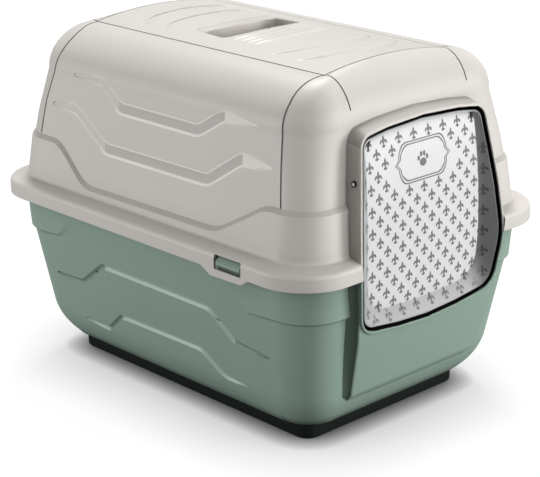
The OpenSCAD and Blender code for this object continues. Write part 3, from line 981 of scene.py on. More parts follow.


# The tray. Its materials are numbered 0 plain, 1 edge in painted highlight, 2 underside in painted shade, 3
# channel in painted shade, 4 dark gap in painted shade, 5 flank in painted shade

trayShape = {
    "reach": 19.5,  # how far the rim stands out past the wall, at the sides and at the ends
    "reachEnd": 14.0,
    "corner": 50.0,
    "taper": 0.28,  # the corner's radius shrinks by this share of the inset
    "bandDraft": 3.7,  # degrees
    "band": 45.0,
    "bandStep": 2.8,
    "draft": 9.3,  # degrees
    "heelRadius": 70.0,
    "heelRise": 57.0,  # height of the heel's centre above the plinth
    "plinth": 18.0,
    "plinthInset": 6.5,
    "plinthCorner": 18.0,
    "wall": 2.4,
    "floor": 20.6,
    "flangeOut": 4.6,
    "liningBend": 150.0,
}
trayChannels = {
    "width": 8.0,
    "bevel": 3.4,
    "depth": 1.8,
    "rearShare": 1,
    "runs": [
        [(190.5, 107.8), (136, 107), (90, 141), (-91, 140.5), (-130, 108.5), (-183.5, 106)],
        [(145, 57.5), (97, 57), (69, 82), (-67, 83), (-102, 59.5), (-141, 58)],
    ],
    "tones": [[(-128, 3, 3), (88, 1, 1), (999, 3, 3)], [(70, 1, 1), (99, 3, 3), (999, 1, 1)]],
}
apron = {"low": 48.0, "edge": 4.0, "narrowing": 0.1225, "lean": 0.257, "flare": 5.0, "hiddenU": 118}
bracket = {"inner": 178.0, "outer": 195.3, "top": 2.5, "low": 6.0, "margin": 2.2}
trayPlan = {"end": 92.0, "toCorner": 40.0, "corner": 66.0, "fromCorner": 24.0, "side": 180.0}

trayHalf = planHalf(trayPlan)
trayX, trayY = rimX - trayShape["reach"], rimY - trayShape["reachEnd"]
bandZ = rimZ - trayShape["band"]
heelZ = trayShape["plinth"] + trayShape["heelRise"]
heelTop = heelZ - trayShape["heelRadius"] * math.sin(math.radians(trayShape["draft"]))


def bandInset(z):
    return max(0, rimZ - z) * tan(trayShape["bandDraft"])


def wallInset(z):
    return max(bandInset(z), bandInset(bandZ) + trayShape["bandStep"] + (bandZ - z) * tan(trayShape["draft"]))


def trayInset(z, inner=0.0):
    # The wall's place at height z, inwards from the rim: straight, then round the heel.
    radius = trayShape["heelRadius"] - inner
    if z >= heelTop:
        return wallInset(z) + inner
    s = min(1, (heelZ - z) / radius)
    start = wallInset(heelTop) + trayShape["heelRadius"] * math.cos(math.radians(trayShape["draft"]))
    return start - radius * math.sqrt(1 - s * s)


def traySurface(u, z, depth, inner=0.0):
    inset = trayInset(z, inner) - depth
    r = max(trayShape["corner"] - trayShape["taper"] * inset, 6)
    x, y = ringPoint(trayPlan, u, trayX - inset, trayY - inset, r)[:2]
    return Vector((x, y, z))


def heelLevels():
    # Heights of even steps round the heel, upwards from the plinth.
    turned = math.degrees(math.asin(trayShape["heelRise"] / trayShape["heelRadius"]))
    levels = [trayShape["plinth"]]
    for k in range(1, 17):
        a = math.radians(turned + (trayShape["draft"] - turned) * k / 16)
        levels.append(heelZ - trayShape["heelRadius"] * math.sin(a))
    return levels


def cornerBand(crest, sign):
    # The tray's upper band, which ends in a slope near the middle of each side.
    bevel, top = 3.4, rimZ + 20
    first, last = crest[0][0], crest[-1][0]
    ends = (last, -5) if sign > 0 else (2 * trayHalf + 5, first)
    outer = crest + [(u, top) for u in ends]
    inner = [(u - sign * bevel, v + bevel) for u, v in crest] + [(u - sign * bevel, top) for u in ends]
    return feature(outer, inner, lambda u, v: wallInset(v) - bandInset(v))


def trayWall():
    half, end = trayHalf, 2 * trayHalf
    front = [(-5, bandZ), (half - 200, bandZ - 2), (half - 156, bandZ - 5), (half - 139, 179.5)]
    front = smoothRun([*front, (half - 124, rimZ + 3)], 4)
    rear = [(half + 133, 186.5), (half + 163, bandZ + 2), (half + 200, bandZ - 1), (end + 5, bandZ)]
    rear = smoothRun([(half + 112, rimZ + 3), *rear], 4)
    features = sideChannels(trayChannels, lambda y, z: half + y)
    features += [cornerBand(front, 1), cornerBand(rear, -1)]
    opening = [(-5, 66), (96.75, 66), (103.4, 130), (109.1, 170), (112.9, rimZ + 5), (-5, rimZ + 5)]
    us = planStops(trayPlan, 4.0, 3.6)
    levels = heelLevels() + spread([heelTop, bandZ, rimZ - 0.3], 4.2)[1:]
    return laidSheet(us, levels, traySurface, features, [opening], flip=True)


def trayStops():
    return planStops(trayPlan, 10, 6)


def footStops():
    return planStops(trayPlan, 8, 5)


def wallRing(inset, z):
    low = trayShape["plinth"]
    points = [traySurface(u, low, trayInset(low) - inset) for u in footStops()]
    return bothSides([(p.x, p.y, z) for p in points])


def plinthRing(draw, z):
    # As many points as the ring of the wall above, on the plinth's own rounded rectangle.
    inset = trayInset(trayShape["plinth"]) + trayShape["plinthInset"] + draw
    r = trayShape["plinthCorner"] - draw
    points = [ringPoint(trayPlan, u, trayX - inset, trayY - inset, r)[:2] for u in footStops()]
    return bothSides([(x, y, z) for x, y in points])


def trayFoot():
    low = trayShape["plinth"]
    rings = [wallRing(trayInset(low), low), plinthRing(-1.5, low), plinthRing(0, low - 1.5)]
    base = closedLoft([*rings, plinthRing(0.4, 2.0), plinthRing(2.4, 0.0)], bothEnds=False)
    # the plinth and the underside all take material 2, painted shade
    for f in base.faces:
        f.material_index = 2
    return base


def trayCollar():
    # The collar inside the rim with its flange, and the inner wall down to the sill.
    wall, out, sill = trayShape["wall"], trayShape["flangeOut"], doorway["sill"]
    section = [(0, rimZ - 0.4), (0, trayTop - wall), (-out, trayTop - wall), (-out, trayTop)]
    section += [(wall, trayTop), (wall, rimZ)]
    section += [(trayInset(z) + wall, z) for z in (trayShape["liningBend"], sill)]
    rings = []
    for inset, z in section:
        points = [traySurface(u, rimZ - 1e-3, -inset) for u in trayStops() if u > apron["hiddenU"]]
        rings.append([(p.x, p.y, z) for p in points])
    return ringLoft(rings, closed=False, flip=True)


def trayLining():
    # The sill's top, then the inner wall below it all round.
    sill, floor = doorway["sill"], trayShape["floor"]
    rings = [[]]
    for u in trayStops():
        p = traySurface(u, sill, 0, 0.3)
        rings[0].append((p.x, -doorway["sillReach"] if u < apron["hiddenU"] else p.y, sill))
    for z in [sill, 110, 90, heelTop] + heelLevels()[::-1][3::3] + [floor]:
        z = max(z, floor)
        rings.append([tuple(traySurface(u, z, 0, trayShape["wall"])) for u in trayStops()])
    return ringLoft(rings, closed=False, flip=True)


def trayFloor():
    floor = trayShape["floor"]
    wall = wallRing(trayInset(trayShape["plinth"]) - 1, floor)
    pit = closedLoft([wall, plinthRing(2.4, floor), plinthRing(2.8, 2.4)], bothEnds=False)
    bmesh.ops.reverse_faces(pit, faces=pit.faces)
    return pit


# The apron: the tray's front panel, with softened side edges


def apronReach(z):
    return 238 + (z - 60) * apron["lean"] if z < doorway["sill"] else frameReach(z) - 2.5


def apronRing(z, reach):
    edge = apron["edge"]
    hx = doorway["width"] / 2 + doorway["lip"] - apron["narrowing"] * (rimZ - z)
    flareOut = apron["flare"] * (1 + (rimZ - z) / (rimZ - 60))
    inset = wallInset(z) if z > heelTop else trayInset(z)
    points = [(0, -reach), (-hx * 0.5, -reach), (-hx + edge, -reach)]
    for k in range(1, 6):
        a = math.radians(75) * k / 5
        points.append((-hx + edge - edge * math.sin(a), -reach + edge * (1 - math.cos(a))))
    x, y = points[-1]
    deep = inset + 1.8 - trayY - y
    for k in range(1, 5):
        t = k / 4
        points.append((x - (flareOut + 3) * t**1.6, y + deep * t) if deep > 0.5 else (x - 1e-3 * k, y))
    return [(px, py, z) for px, py in points]


def leftEdge(outline, z):
    # The outline's outermost place left of the middle at height z.
    best = None
    for (x1, z1), (x2, z2) in zip(outline, outline[1:]):
        if min(z1, z2) - 1e-6 <= z <= max(z1, z2) + 1e-6:
            t = 0.5 if abs(z2 - z1) < 1e-6 else (z - z1) / (z2 - z1)
            x = x1 + (x2 - x1) * t
            best = x if best is None or x < best else best
    return -40.0 if best is None else best


def flanked(rings):
    # A panel whose flank, past the rounded edge, carries painted shade as its own material.
    panel = ringLoft(rings, closed=False, flip=True)
    columns = len(rings[0]) - 1
    for i, f in enumerate(panel.faces):
        if i % columns > 4:
            f.material_index = 5
    return panel


def apronPanel():
    sill, low = doorway["sill"], apron["low"]
    levels = [(low, trayY - trayInset(low) - 1.0), (low + 4, trayY - trayInset(low + 4) + 1.6)]
    levels += [(56.5, 236.0), (59.5, 237.9), (62.5, 238.9)]
    levels += [(z, apronReach(z)) for z in spread([68, sill - 3], 8)]
    levels.append((sill - 1, apronReach(sill - 3) + 0.5))
    return flanked([apronRing(z, reach) for z, reach in levels])


def apronJambs():
    # Beside the doorway only the outer part of the panel remains.
    outline = [p for p in rounded(grown(doorwayCorners(), 1.2)) if p[0] < 0]
    rings = []
    for z in spread([doorway["sill"] - 1, rimZ - 0.3], 6):
        jamb = leftEdge(outline, z)
        rings.append([(min(x, jamb), y, z) for x, y, z in apronRing(z, apronReach(z))])
    return flanked(rings)


def catchBracket():
    half = catch["width"] / 2 - bracket["margin"]
    top, low = rimZ - bracket["top"], rimZ - bracket["low"]
    outer, inner = -bracket["outer"], -bracket["inner"]
    outline = [(outer, top), (outer, low), (inner, low), (inner, top)]
    return closedLoft([[(x, catch["y"] + side * half, z) for x, z in outline] for side in (-1, 1)])


def buildTray(materials):
    total = bmesh.new()
    pour(total, trayWall(), twin=True)
    pour(total, trayFoot())
    pour(total, trayCollar(), twin=True)
    pour(total, trayLining(), twin=True)
    pour(total, trayFloor())
    pour(total, apronPanel(), twin=True)
    pour(total, apronJambs(), twin=True)
    pour(total, frameHalf(False, rimZ - 0.3, 4))
    pour(total, catchBracket(), twin=True)
    return mesh("trayShell", total, materials)


# The door. Its materials are numbered 0 face, 1 slope in painted shade

doorShape = {
    "gap": 4.0,
    "faceWidth": 179.0,
    "topMargin": 7.6,
    "lowMargin": 21.0,
    "set": 3.0,  # how far the edge lies behind the frame's face
    "reach": 249.8,
    "bow": 833.0,  # radius of the face's bulge
    "edge": 1.8,
}


def faceCorners():
    x = doorShape["faceWidth"] / 2
    top, low = doorway["top"] - doorShape["topMargin"], doorway["sill"] + doorShape["lowMargin"]
    return mirrored(
        [
            (0, low, 0),
            (x * 0.55, low + 1.5, 120),
            (x - 3, low + 6, 30),
            (x, rimZ + 1.5, 150),
            (x - 0.5, rimZ + (top - rimZ) * 0.42, 300),
            (x - 3, top - 4.6, 13),
            (x * 0.55, top - 1.2, 120),
            (0, top, 0),
        ]
    )


def faceReach(z):
    return doorShape["reach"] - (z - rimZ - 7) ** 2 / (2 * doorShape["bow"])


def edgeReach(z):
    return frameReach(z) - doorShape["set"]


doorFace = rounded(faceCorners())
doorEdge = rounded(grown(doorwayCorners(), -doorShape["gap"] - doorShape["edge"]))


def doorFront(x, z):
    # The front's place in y: the set-back face, and the slope from it up to the edge.
    if polyInside(doorFace, x, z):
        return -faceReach(z)
    if not polyInside(doorEdge, x, z):
        return -edgeReach(z)
    fromFace, fromEdge = polyDistance(doorFace, x, z), polyDistance(doorEdge, x, z)
    both = fromFace + fromEdge
    t = fromFace / both if both > 1e-6 else 0
    return -(faceReach(z) * (1 - t) + edgeReach(z) * t)


def doorSheet():
    zs = spread([doorway["sill"] + 2, doorway["top"] - 2], 3.5)
    bm = flatGrid(spread([-112, 112], 3.5), zs)
    for poly in (doorEdge, doorFace):
        cutAlong(bm, poly)
    cutOut(bm, doorEdge, keepInside=True)
    for f in bm.faces:
        f.material_index = 0 if faceInside(f, doorFace) else 1
    for v in bm.verts:
        x, z = v.co.x, v.co.y
        v.co = (x, doorFront(x, z), z)
    return bm


def doorEdgeRings():
    corners, gap = doorwayCorners(), doorShape["gap"]
    rings = []
    for grow, back in ((-gap - doorShape["edge"], 0), (-gap - 0.5, 0), (-gap, 0.5), (-gap, 2.6)):
        rings.append([(x, back - edgeReach(z), z) for x, z in rounded(grown(corners, grow))])
    rings.append([(x, 2 - faceReach(z), z) for x, z in rounded(grown(faceCorners(), 1.4))])
    return rings


def doorBack(ring):
    # Closes the back with strips across, between facing points of the ring.
    back = bmesh.new()
    verts = [back.verts.new(p) for p in ring]
    n = len(verts)
    for k in range(1, n // 2):
        strip = []
        for i in (k - 1, k, n - k, (n - k + 1) % n):
            if verts[i] not in strip:
                strip.append(verts[i])
        if len(strip) > 2:
            back.faces.new(strip)
    bmesh.ops.recalc_face_normals(back, faces=back.faces)
    if sum(f.normal.y for f in back.faces) < 0:
        bmesh.ops.reverse_faces(back, faces=back.faces)
    return back


def buildDoor(materials):
    total = bmesh.new()
    rings = doorEdgeRings()
    edgeBand = ringLoft(rings, flip=True)
    for f in edgeBand.faces:
        f.material_index = 1
    pour(total, doorSheet())
    pour(total, edgeBand)
    pour(total, doorBack(rings[-1]))
    return mesh("doorFlap", total, materials)


# Materials


def join(links, *pairs):
    for source, target in pairs:
        links.new(source, target)


def grainAndHollowShadeGroup():
    # Fine grain, broad mottling, and painted shade in hollows found by ambient occlusion, for every plastic.
    group = bpy.data.node_groups.new("grainAndHollowShadeGroup", "ShaderNodeTree")
    for name, value in (("Scale", 1400), ("Strength", 0.08), ("Reach", 0.035)):
        socket = group.interface.new_socket(name, in_out="INPUT", socket_type="NodeSocketFloat")
        socket.default_value = value
    for name, kind in (("Mottle", "Float"), ("HollowShade", "Float"), ("Normal", "Vector")):
        group.interface.new_socket(name, in_out="OUTPUT", socket_type="NodeSocket" + kind)
    nodes = group.nodes
    given, result = nodes.new("NodeGroupInput"), nodes.new("NodeGroupOutput")
    place = nodes.new("ShaderNodeTexCoord")
    fine, broad = nodes.new("ShaderNodeTexNoise"), nodes.new("ShaderNodeTexNoise")
    fine.inputs["Detail"].default_value = 2
    broad.inputs["Scale"].default_value = 9
    broad.inputs["Detail"].default_value = 3
    bump = nodes.new("ShaderNodeBump")
    bump.inputs["Distance"].default_value = 0.0002
    hollow = nodes.new("ShaderNodeAmbientOcclusion")
    hollow.samples = 12
    join(
        group.links,
        (place.outputs["Object"], fine.inputs["Vector"]),
        (place.outputs["Object"], broad.inputs["Vector"]),
        (given.outputs["Scale"], fine.inputs["Scale"]),
        (given.outputs["Strength"], bump.inputs["Strength"]),
        (given.outputs["Reach"], hollow.inputs["Distance"]),
        (fine.outputs["Fac"], bump.inputs["Height"]),
        (broad.outputs["Fac"], result.inputs["Mottle"]),
        (hollow.outputs["AO"], result.inputs["HollowShade"]),
        (bump.outputs["Normal"], result.inputs["Normal"]),
    )
    return group


grainAndHollowShade = grainAndHollowShadeGroup()


def dimmed(material, colour, share):
    # Lays a share over a colour on its way to the shader: every share laid this way is painted shade.
    nodes = material.node_tree.nodes
    dim = nodes.new("ShaderNodeVectorMath")
    dim.operation = "SCALE"
    base = nodes["Principled BSDF"].inputs["Base Color"]
    join(
        material.node_tree.links,
        (colour, dim.inputs[0]),
        (share, dim.inputs["Scale"]),
        (dim.outputs["Vector"], base),
    )


def plastic(name, base, rough=0.5, vary=0.03, strength=0.08, specular=0.4, shade=0.5, reach=0.035):
    # The colour carries painted shade in hollows: shade is what is left of the colour deep in a hollow, as
    # far as reach metres across.
    m = bpy.data.materials.new(name)
    m.use_nodes = True
    nodes = m.node_tree.nodes
    shader = nodes["Principled BSDF"]
    shader.inputs["Roughness"].default_value = rough
    shader.inputs["Specular IOR Level"].default_value = specular
    surface = nodes.new("ShaderNodeGroup")
    surface.node_tree = grainAndHollowShade
    surface.inputs["Strength"].default_value = strength
    surface.inputs["Reach"].default_value = reach
    mix = nodes.new("ShaderNodeMix")
    mix.data_type = "RGBA"
    mix.inputs["A"].default_value = (*[c * (1 - vary) for c in base], 1)
    mix.inputs["B"].default_value = (*[min(1, c * (1 + vary)) for c in base], 1)
    # painted shade: ambient occlusion darkens the colour in hollows
    depth = nodes.new("ShaderNodeMapRange")
    depth.inputs["From Min"].default_value = 0.25
    depth.inputs["From Max"].default_value = 0.95
    depth.inputs["To Min"].default_value = shade
    join(
        m.node_tree.links,
        (surface.outputs["Mottle"], mix.inputs["Factor"]),
        (surface.outputs["HollowShade"], depth.inputs["Value"]),
        (surface.outputs["Normal"], shader.inputs["Normal"]),
    )
    dimmed(m, mix.outputs["Result"], depth.outputs["Result"])
    return m


def shadedSide(material, dark, start, end):
    # Darker from start to end along x: the far side lies in the frame's shade.
    nodes = material.node_tree.nodes
    place, split = nodes.new("ShaderNodeTexCoord"), nodes.new("ShaderNodeSeparateXYZ")
    across = nodes.new("ShaderNodeMapRange")
    across.interpolation_type = "SMOOTHSTEP"
    for name, value in (("From Min", start), ("From Max", end), ("To Min", 1.0), ("To Max", dark)):
        across.inputs[name].default_value = value
    join(
        material.node_tree.links,
        (place.outputs["Object"], split.inputs["Vector"]),
        (split.outputs["X"], across.inputs["Value"]),
    )
    colour = nodes["Principled BSDF"].inputs["Base Color"].links[0].from_socket
    dimmed(material, colour, across.outputs["Result"])


stone = plastic("stonePlastic", (0.63, 0.60, 0.565), 0.48)
# Painted shade: a darker copy of the stone plastic, on the floors of the seams and grooves
stoneSeamShade = plastic("stoneSeamShade", (0.30, 0.285, 0.265), 0.6, shade=0.3)
# Painted shade: a darker copy of the stone plastic, on the frame's flare above the doorway
stoneFilletShade = plastic("stoneFilletShade", (0.43, 0.41, 0.385))
stoneGlint = plastic("stoneGlint", (0.88, 0.84, 0.80), 0.45, shade=0.1)
# Painted shade: a darker copy of the stone plastic, on the proud band's ledge, the grip's mouth and the
# frame's ledge
stoneLedgeShade = plastic("stoneLedgeShade", (0.50, 0.475, 0.445), 0.55)
# Painted highlight: a lighter copy of the stone plastic, on the front tails of the channels
stoneEdgeHighlight = plastic("stoneEdgeHighlight", (0.80, 0.765, 0.725), 0.45)
# Painted shade: a darker copy of the stone plastic, on the channels' floors
stoneChannelShade = plastic("stoneChannelShade", (0.52, 0.495, 0.465))
green = plastic("greenPlastic", (0.276, 0.38, 0.318), shade=0.35)
# Painted highlight: a lighter copy of the green plastic, on the lit stretch of the tray's channels
greenEdgeHighlight = plastic("greenEdgeHighlight", (0.41, 0.53, 0.46), 0.45)
# Painted shade: a near-black copy of the green plastic, on the plinth and the underside
greenUnderShade = plastic("greenUndersideShade", (0.014, 0.02, 0.017), 0.7, strength=0.04, specular=0.1)
# Painted shade: a darker copy of the green plastic, on the apron's flanks
greenFlankShade = plastic("greenFlankShade", (0.10, 0.14, 0.118))
# Painted shade: a darker copy of the green plastic, on the tray channels' tails and rising stretches
greenChannelShade = plastic("greenChannelShade", (0.215, 0.31, 0.255), 0.55)
# the door's painted shade in hollows is the deepest, within 20 mm of the frame
white = plastic("doorPlastic", (0.72, 0.72, 0.725), 0.35, 0.015, 0.04, shade=0.25, reach=0.02)
# Painted shade: a darker copy of the door plastic on the slopes round the face, darker still on the far side
whiteSlopeShade = plastic("doorSlopeShade", (0.43, 0.43, 0.435), 0.5, 0.015, 0.04)
shadedSide(whiteSlopeShade, 0.3, 0.066, 0.098)
ink = plastic("greyInk", (0.19, 0.19, 0.193), vary=0.05, specular=0.2, shade=0.85)
# painted shade over the print on the far side of the door
shadedSide(ink, 0.3, 0.086, 0.096)
# Painted shade: a near-black sheet in the doorway's jamb and the pin sockets, where there is only shade
gapShade = plastic("deepGapShade", (0.004, 0.004, 0.004), 0.8, vary=0, strength=0, specular=0.1)
steel = plastic("pinSteel", (0.9, 0.9, 0.89), 0.25, shade=0.9)

# The large pieces

hood = buildHood([stone, stoneSeamShade, stoneLedgeShade, stoneEdgeHighlight, stoneChannelShade, stoneGlint])
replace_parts(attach(hood, "hood"), "hood")
frameUpper = mesh("hoodFrame", frameHalf(True, rimZ, 1), [stone, gapShade, stoneFilletShade, stoneLedgeShade])
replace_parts(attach(frameUpper, "hood"), "hood")
print("stage: hood built")
tray = buildTray([green, greenEdgeHighlight, greenUnderShade, greenChannelShade, gapShade, greenFlankShade])
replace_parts(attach(tray, "tray"), "tray")
print("stage: tray built")
door = buildDoor([white, whiteSlopeShade])
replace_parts(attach(door, "door"), "door")
print("stage: door built")

for name, material in (
    ("pivot_pin_left", steel),
    ("pivot_pin_right", steel),
    ("catch_left", green),
    ("catch_right", green),
):
    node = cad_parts[name]
    node.data.materials.clear()
    node.data.materials.append(material)

# The printed ornament on the door: a lattice of fleurs-de-lis around a plaque with a paw print

motif = {
    "column": 11.7,
    "row": 11.81,
    "tall": 14.0,
    "centreZ": 276.55,
    "margin": 2.0,  # least distance from the door's edge
    "jitter": 0.01,  # how much the sizes vary
    "seed": 4,
}
plaque = {"centre": 306.0, "half": 44.0, "high": 22.5, "line": 1.25, "gap": 2.7}
# the paw's pad and toes: (x, z, half width, half height) from the plaque's middle
paw = [(0, -3.4, 5.2, 4.3), (-6.6, 1.6, 1.9, 2.7), (6.6, 1.6, 1.9, 2.7)]
paw += [(-2.4, 5.6, 1.95, 2.9), (2.4, 5.6, 1.95, 2.9)]


def petal(points, steps=3):
    # A closed smooth outline through points, by Catmull-Rom.
    out = []
    n = len(points)
    for i in range(n):
        p0, p1, p2, p3 = (Vector(points[(i + k) % n]) for k in (-1, 0, 1, 2))
        square, cube = 2 * p0 - 5 * p1 + 4 * p2 - p3, 3 * p1 - p0 - 3 * p2 + p3
        for k in range(steps):
            t = k / steps
            out.append(tuple(0.5 * (2 * p1 + (p2 - p0) * t + square * t * t + cube * t**3)))
    return out


def sidePetal(side, steps=12):
    # An arc out of the stem that ends in a drooping bud.
    cx, cy, radius = 0.185, -0.08, 0.12
    outer, inner = [], []
    for k in range(steps + 1):
        t = k / steps
        a = math.radians(195 - 225 * t)
        w = 0.045 + 0.045 * t
        for line, r in ((outer, radius + w), (inner, radius - w)):
            line.append((side * (cx + r * math.cos(a)), cy + r * 1.15 * math.sin(a)))
    ring = outer + inner[::-1]
    return ring[::-1] if side > 0 else ring


def looseObject(name, bm):
    data = bpy.data.meshes.new(name)
    bm.to_mesh(data)
    bm.free()
    obj = bpy.data.objects.new(name, data)
    bpy.context.scene.collection.objects.link(obj)
    return obj


def lilyShape():
    # A fleur-de-lis 1 unit tall, flat in x and z.
    spear = [(0, 0.47), (0.07, 0.36), (0.105, 0.2), (0.085, 0.06), (0.055, -0.08), (0.05, -0.34)]
    spear += [(-x, y) for x, y in reversed(spear[1:])]
    foot = [(0.2, -0.37), (0.12, -0.27), (0, -0.25), (-0.12, -0.27), (-0.2, -0.37)]
    foot += [(-0.1, -0.42), (0, -0.48), (0.1, -0.42)]
    bm = bmesh.new()
    for shape in (petal(spear[::-1]), petal(foot), sidePetal(1), sidePetal(-1)):
        bm.faces.new([bm.verts.new((x, 0, y)) for x, y in shape])
    bmesh.ops.triangulate(bm, faces=bm.faces)
    return looseObject("lily", bm)


def motifScatter(lily, material):
    group = bpy.data.node_groups.new("motifScatter", "GeometryNodeTree")
    inputs = (("Geometry", "Geometry"), ("Motif Size", "Float"), ("Size Jitter", "Float"), ("Seed", "Int"))
    for name, kind in inputs:
        group.interface.new_socket(name, in_out="INPUT", socket_type="NodeSocket" + kind)
    group.interface.new_socket("Geometry", in_out="OUTPUT", socket_type="NodeSocketGeometry")
    nodes = group.nodes
    given, result = nodes.new("NodeGroupInput"), nodes.new("NodeGroupOutput")
    info = nodes.new("GeometryNodeObjectInfo")
    info.inputs["Object"].default_value = lily
    place = nodes.new("GeometryNodeInstanceOnPoints")
    jitter = nodes.new("FunctionNodeRandomValue")
    jitter.data_type = "FLOAT"
    less, more, size = (nodes.new("ShaderNodeMath") for _ in range(3))
    less.operation, more.operation, size.operation = "SUBTRACT", "ADD", "MULTIPLY"
    less.inputs[0].default_value = 1
    more.inputs[0].default_value = 1
    real = nodes.new("GeometryNodeRealizeInstances")
    paint = nodes.new("GeometryNodeSetMaterial")
    paint.inputs["Material"].default_value = material
    join(
        group.links,
        (given.outputs["Size Jitter"], less.inputs[1]),
        (given.outputs["Size Jitter"], more.inputs[1]),
        (less.outputs[0], jitter.inputs[2]),
        (more.outputs[0], jitter.inputs[3]),
        (given.outputs["Seed"], jitter.inputs["Seed"]),
        (jitter.outputs[1], size.inputs[0]),
        (given.outputs["Motif Size"], size.inputs[1]),
        (given.outputs["Geometry"], place.inputs["Points"]),
        (info.outputs["Geometry"], place.inputs["Instance"]),
        (size.outputs[0], place.inputs["Scale"]),
        (place.outputs["Instances"], real.inputs["Geometry"]),
        (real.outputs["Geometry"], paint.inputs["Geometry"]),
        (paint.outputs["Geometry"], result.inputs["Geometry"]),
    )
    return group


def motifPlaces():
    # Every other place of a lattice, clear of the door's edge and of the plaque.
    places = []
    for i in range(-10, 11):
        for k in range(-12, 12):
            x, z = motif["column"] * i, motif["centreZ"] + motif["row"] * k
            if (i + k) % 2 or not polyInside(doorEdge, x, z):
                continue
            dx, dz = abs(x), abs(z - plaque["centre"])
            half = plaque["half"]
            covered = dx < half + 3 and dz < plaque["high"] + 5.5 and dx + dz * 0.7 < half + 13
            if not covered and polyDistance(doorEdge, x, z) >= motif["margin"]:
                places.append((x, z))
    return places


def printOnDoor(name, bm, lift):
    # Lays flat artwork, drawn in x and z, on the door's front, facing forwards.
    for v in bm.verts:
        v.co.y = doorFront(v.co.x, v.co.z) - lift
    bm.normal_update()
    bmesh.ops.recalc_face_normals(bm, faces=bm.faces)
    bmesh.ops.reverse_faces(bm, faces=[f for f in bm.faces if f.normal.y > 0])
    artwork = mesh(name, bm, ink, weld=1e-5)
    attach(artwork, "door")


def printMotifs():
    lily = lilyShape()
    points = bmesh.new()
    places = motifPlaces()
    for x, z in places:
        points.verts.new((x / 1000, 0, z / 1000))
    host = looseObject("motifPlaces", points)
    group = motifScatter(lily, ink)
    scatter = host.modifiers.new("scatter", "NODES")
    scatter.node_group = group
    sockets = {s.name: s.identifier for s in group.interface.items_tree if s.in_out == "INPUT"}
    scatter[sockets["Motif Size"]] = motif["tall"] / 1000
    scatter[sockets["Size Jitter"]] = motif["jitter"]
    scatter[sockets["Seed"]] = motif["seed"]
    bpy.context.view_layer.update()
    evaluated = host.evaluated_get(bpy.context.evaluated_depsgraph_get())
    made = bpy.data.meshes.new_from_object(evaluated)
    host.modifiers.clear()
    bpy.data.objects.remove(host)
    bpy.data.objects.remove(lily)
    art = bmesh.new()
    art.from_mesh(made)
    bmesh.ops.scale(art, vec=(1000,) * 3, verts=art.verts)
    centres = {f: f.calc_center_median() for f in art.faces}
    gone = [f for f, c in centres.items() if not polyInside(doorEdge, c.x, c.z)]
    bmesh.ops.delete(art, geom=gone, context="FACES")
    printOnDoor("doorPrint", art, 0.12)
    print("stage: motifs printed", len(places))


def plaqueOutline(inset):
    # A long plaque with a pointed tip at each end and hollowed shoulders, inset evenly.
    half, high = plaque["half"] - inset, plaque["high"] - inset
    tip, shoulder = [(0, 0), (-3.6, 3), (-5.8, 5.4), (-6.4, 10.5)], [(-9.4, -5), (-12.6, -1.6), (-17, 0)]
    quarter = [(half + x, y) for x, y in tip] + [(half + x, high + y) for x, y in shoulder]
    right = quarter + [(-x, y) for x, y in reversed(quarter)]
    return right + [(-x, -y) for x, y in right[1:-1]]


def plaqueLine(bm, inset):
    # A closed line with as many points along its inner edge as along its outer one.
    outer, inner = plaqueOutline(inset), plaqueOutline(inset + plaque["line"])
    n = len(outer)
    rows = [[], []]
    for i in range(n):
        k = (i + 1) % n
        count = max(1, round((Vector(outer[k]) - Vector(outer[i])).length / 4))
        for row, ring in zip(rows, (outer, inner)):
            p, q = Vector(ring[i]), Vector(ring[k])
            row += [p + (q - p) * step / count for step in range(count)]
    outer, inner = ([bm.verts.new((p.x, 0, p.y + plaque["centre"])) for p in row] for row in rows)
    for i in range(len(outer)):
        k = (i + 1) % len(outer)
        bm.faces.new((outer[i], outer[k], inner[k], inner[i]))


def printPlaque():
    art = bmesh.new()
    for inset in (0.0, plaque["gap"]):
        plaqueLine(art, inset)
    for x, z, halfX, halfZ in paw:
        turns = [math.tau * k / 24 for k in range(24)]
        ring = [(x + halfX * math.cos(t), 0, plaque["centre"] + z + halfZ * math.sin(t)) for t in turns]
        capped(art, ring)
    printOnDoor("doorEmblem", art, 0.14)


printMotifs()
printPlaque()

# Domed pin heads in sockets on the frame's flanks, the sockets near-black painted shade. Profiles are
# (radius, how far out).

pinHead = {
    "x": doorway["topWidth"] / 2 + 11.4,
    "y": -245.0,
    "z": 300.7,
    "socket": [(3.3, -1.2), (3.3, 0.25), (2.1, 0.15)],
    "dome": [(2.1, -0.6), (2.0, 0.6), (1.5, 1.1), (0.8, 1.35)],
}


def turned(name, profile, side, material):
    rings = []
    for r, out in profile:
        turns = [math.tau * k / 20 for k in range(20)]
        x, y, z = side * (pinHead["x"] + out), pinHead["y"], pinHead["z"]
        rings.append([(x, y + r * math.cos(t), z + r * math.sin(t)) for t in turns])
    return mesh(name + ("Left" if side < 0 else "Right"), closedLoft(rings), material)


for side in (-1, 1):
    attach(turned("pinSocket", pinHead["socket"], side, gapShade), "hood")
    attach(turned("pinHead", pinHead["dome"], side, steel), "door")
print("stage: pins fitted")

# Floor, light and camera

studio = {
    "floor": 6000,
    "floorLow": -0.2,
    "bounce": 0.25,  # the floor's grey, as the object sees it
    "worldLight": 0.12,
    "tight": (0.03, 0.12, 0.8),  # painted contact shadow and painted soft shadow on the floor: reach in metres, low end, power
    "wide": (0.11, 0.0, 0.55),
    "glow": 0.92,
    "shown": 0.15,
}
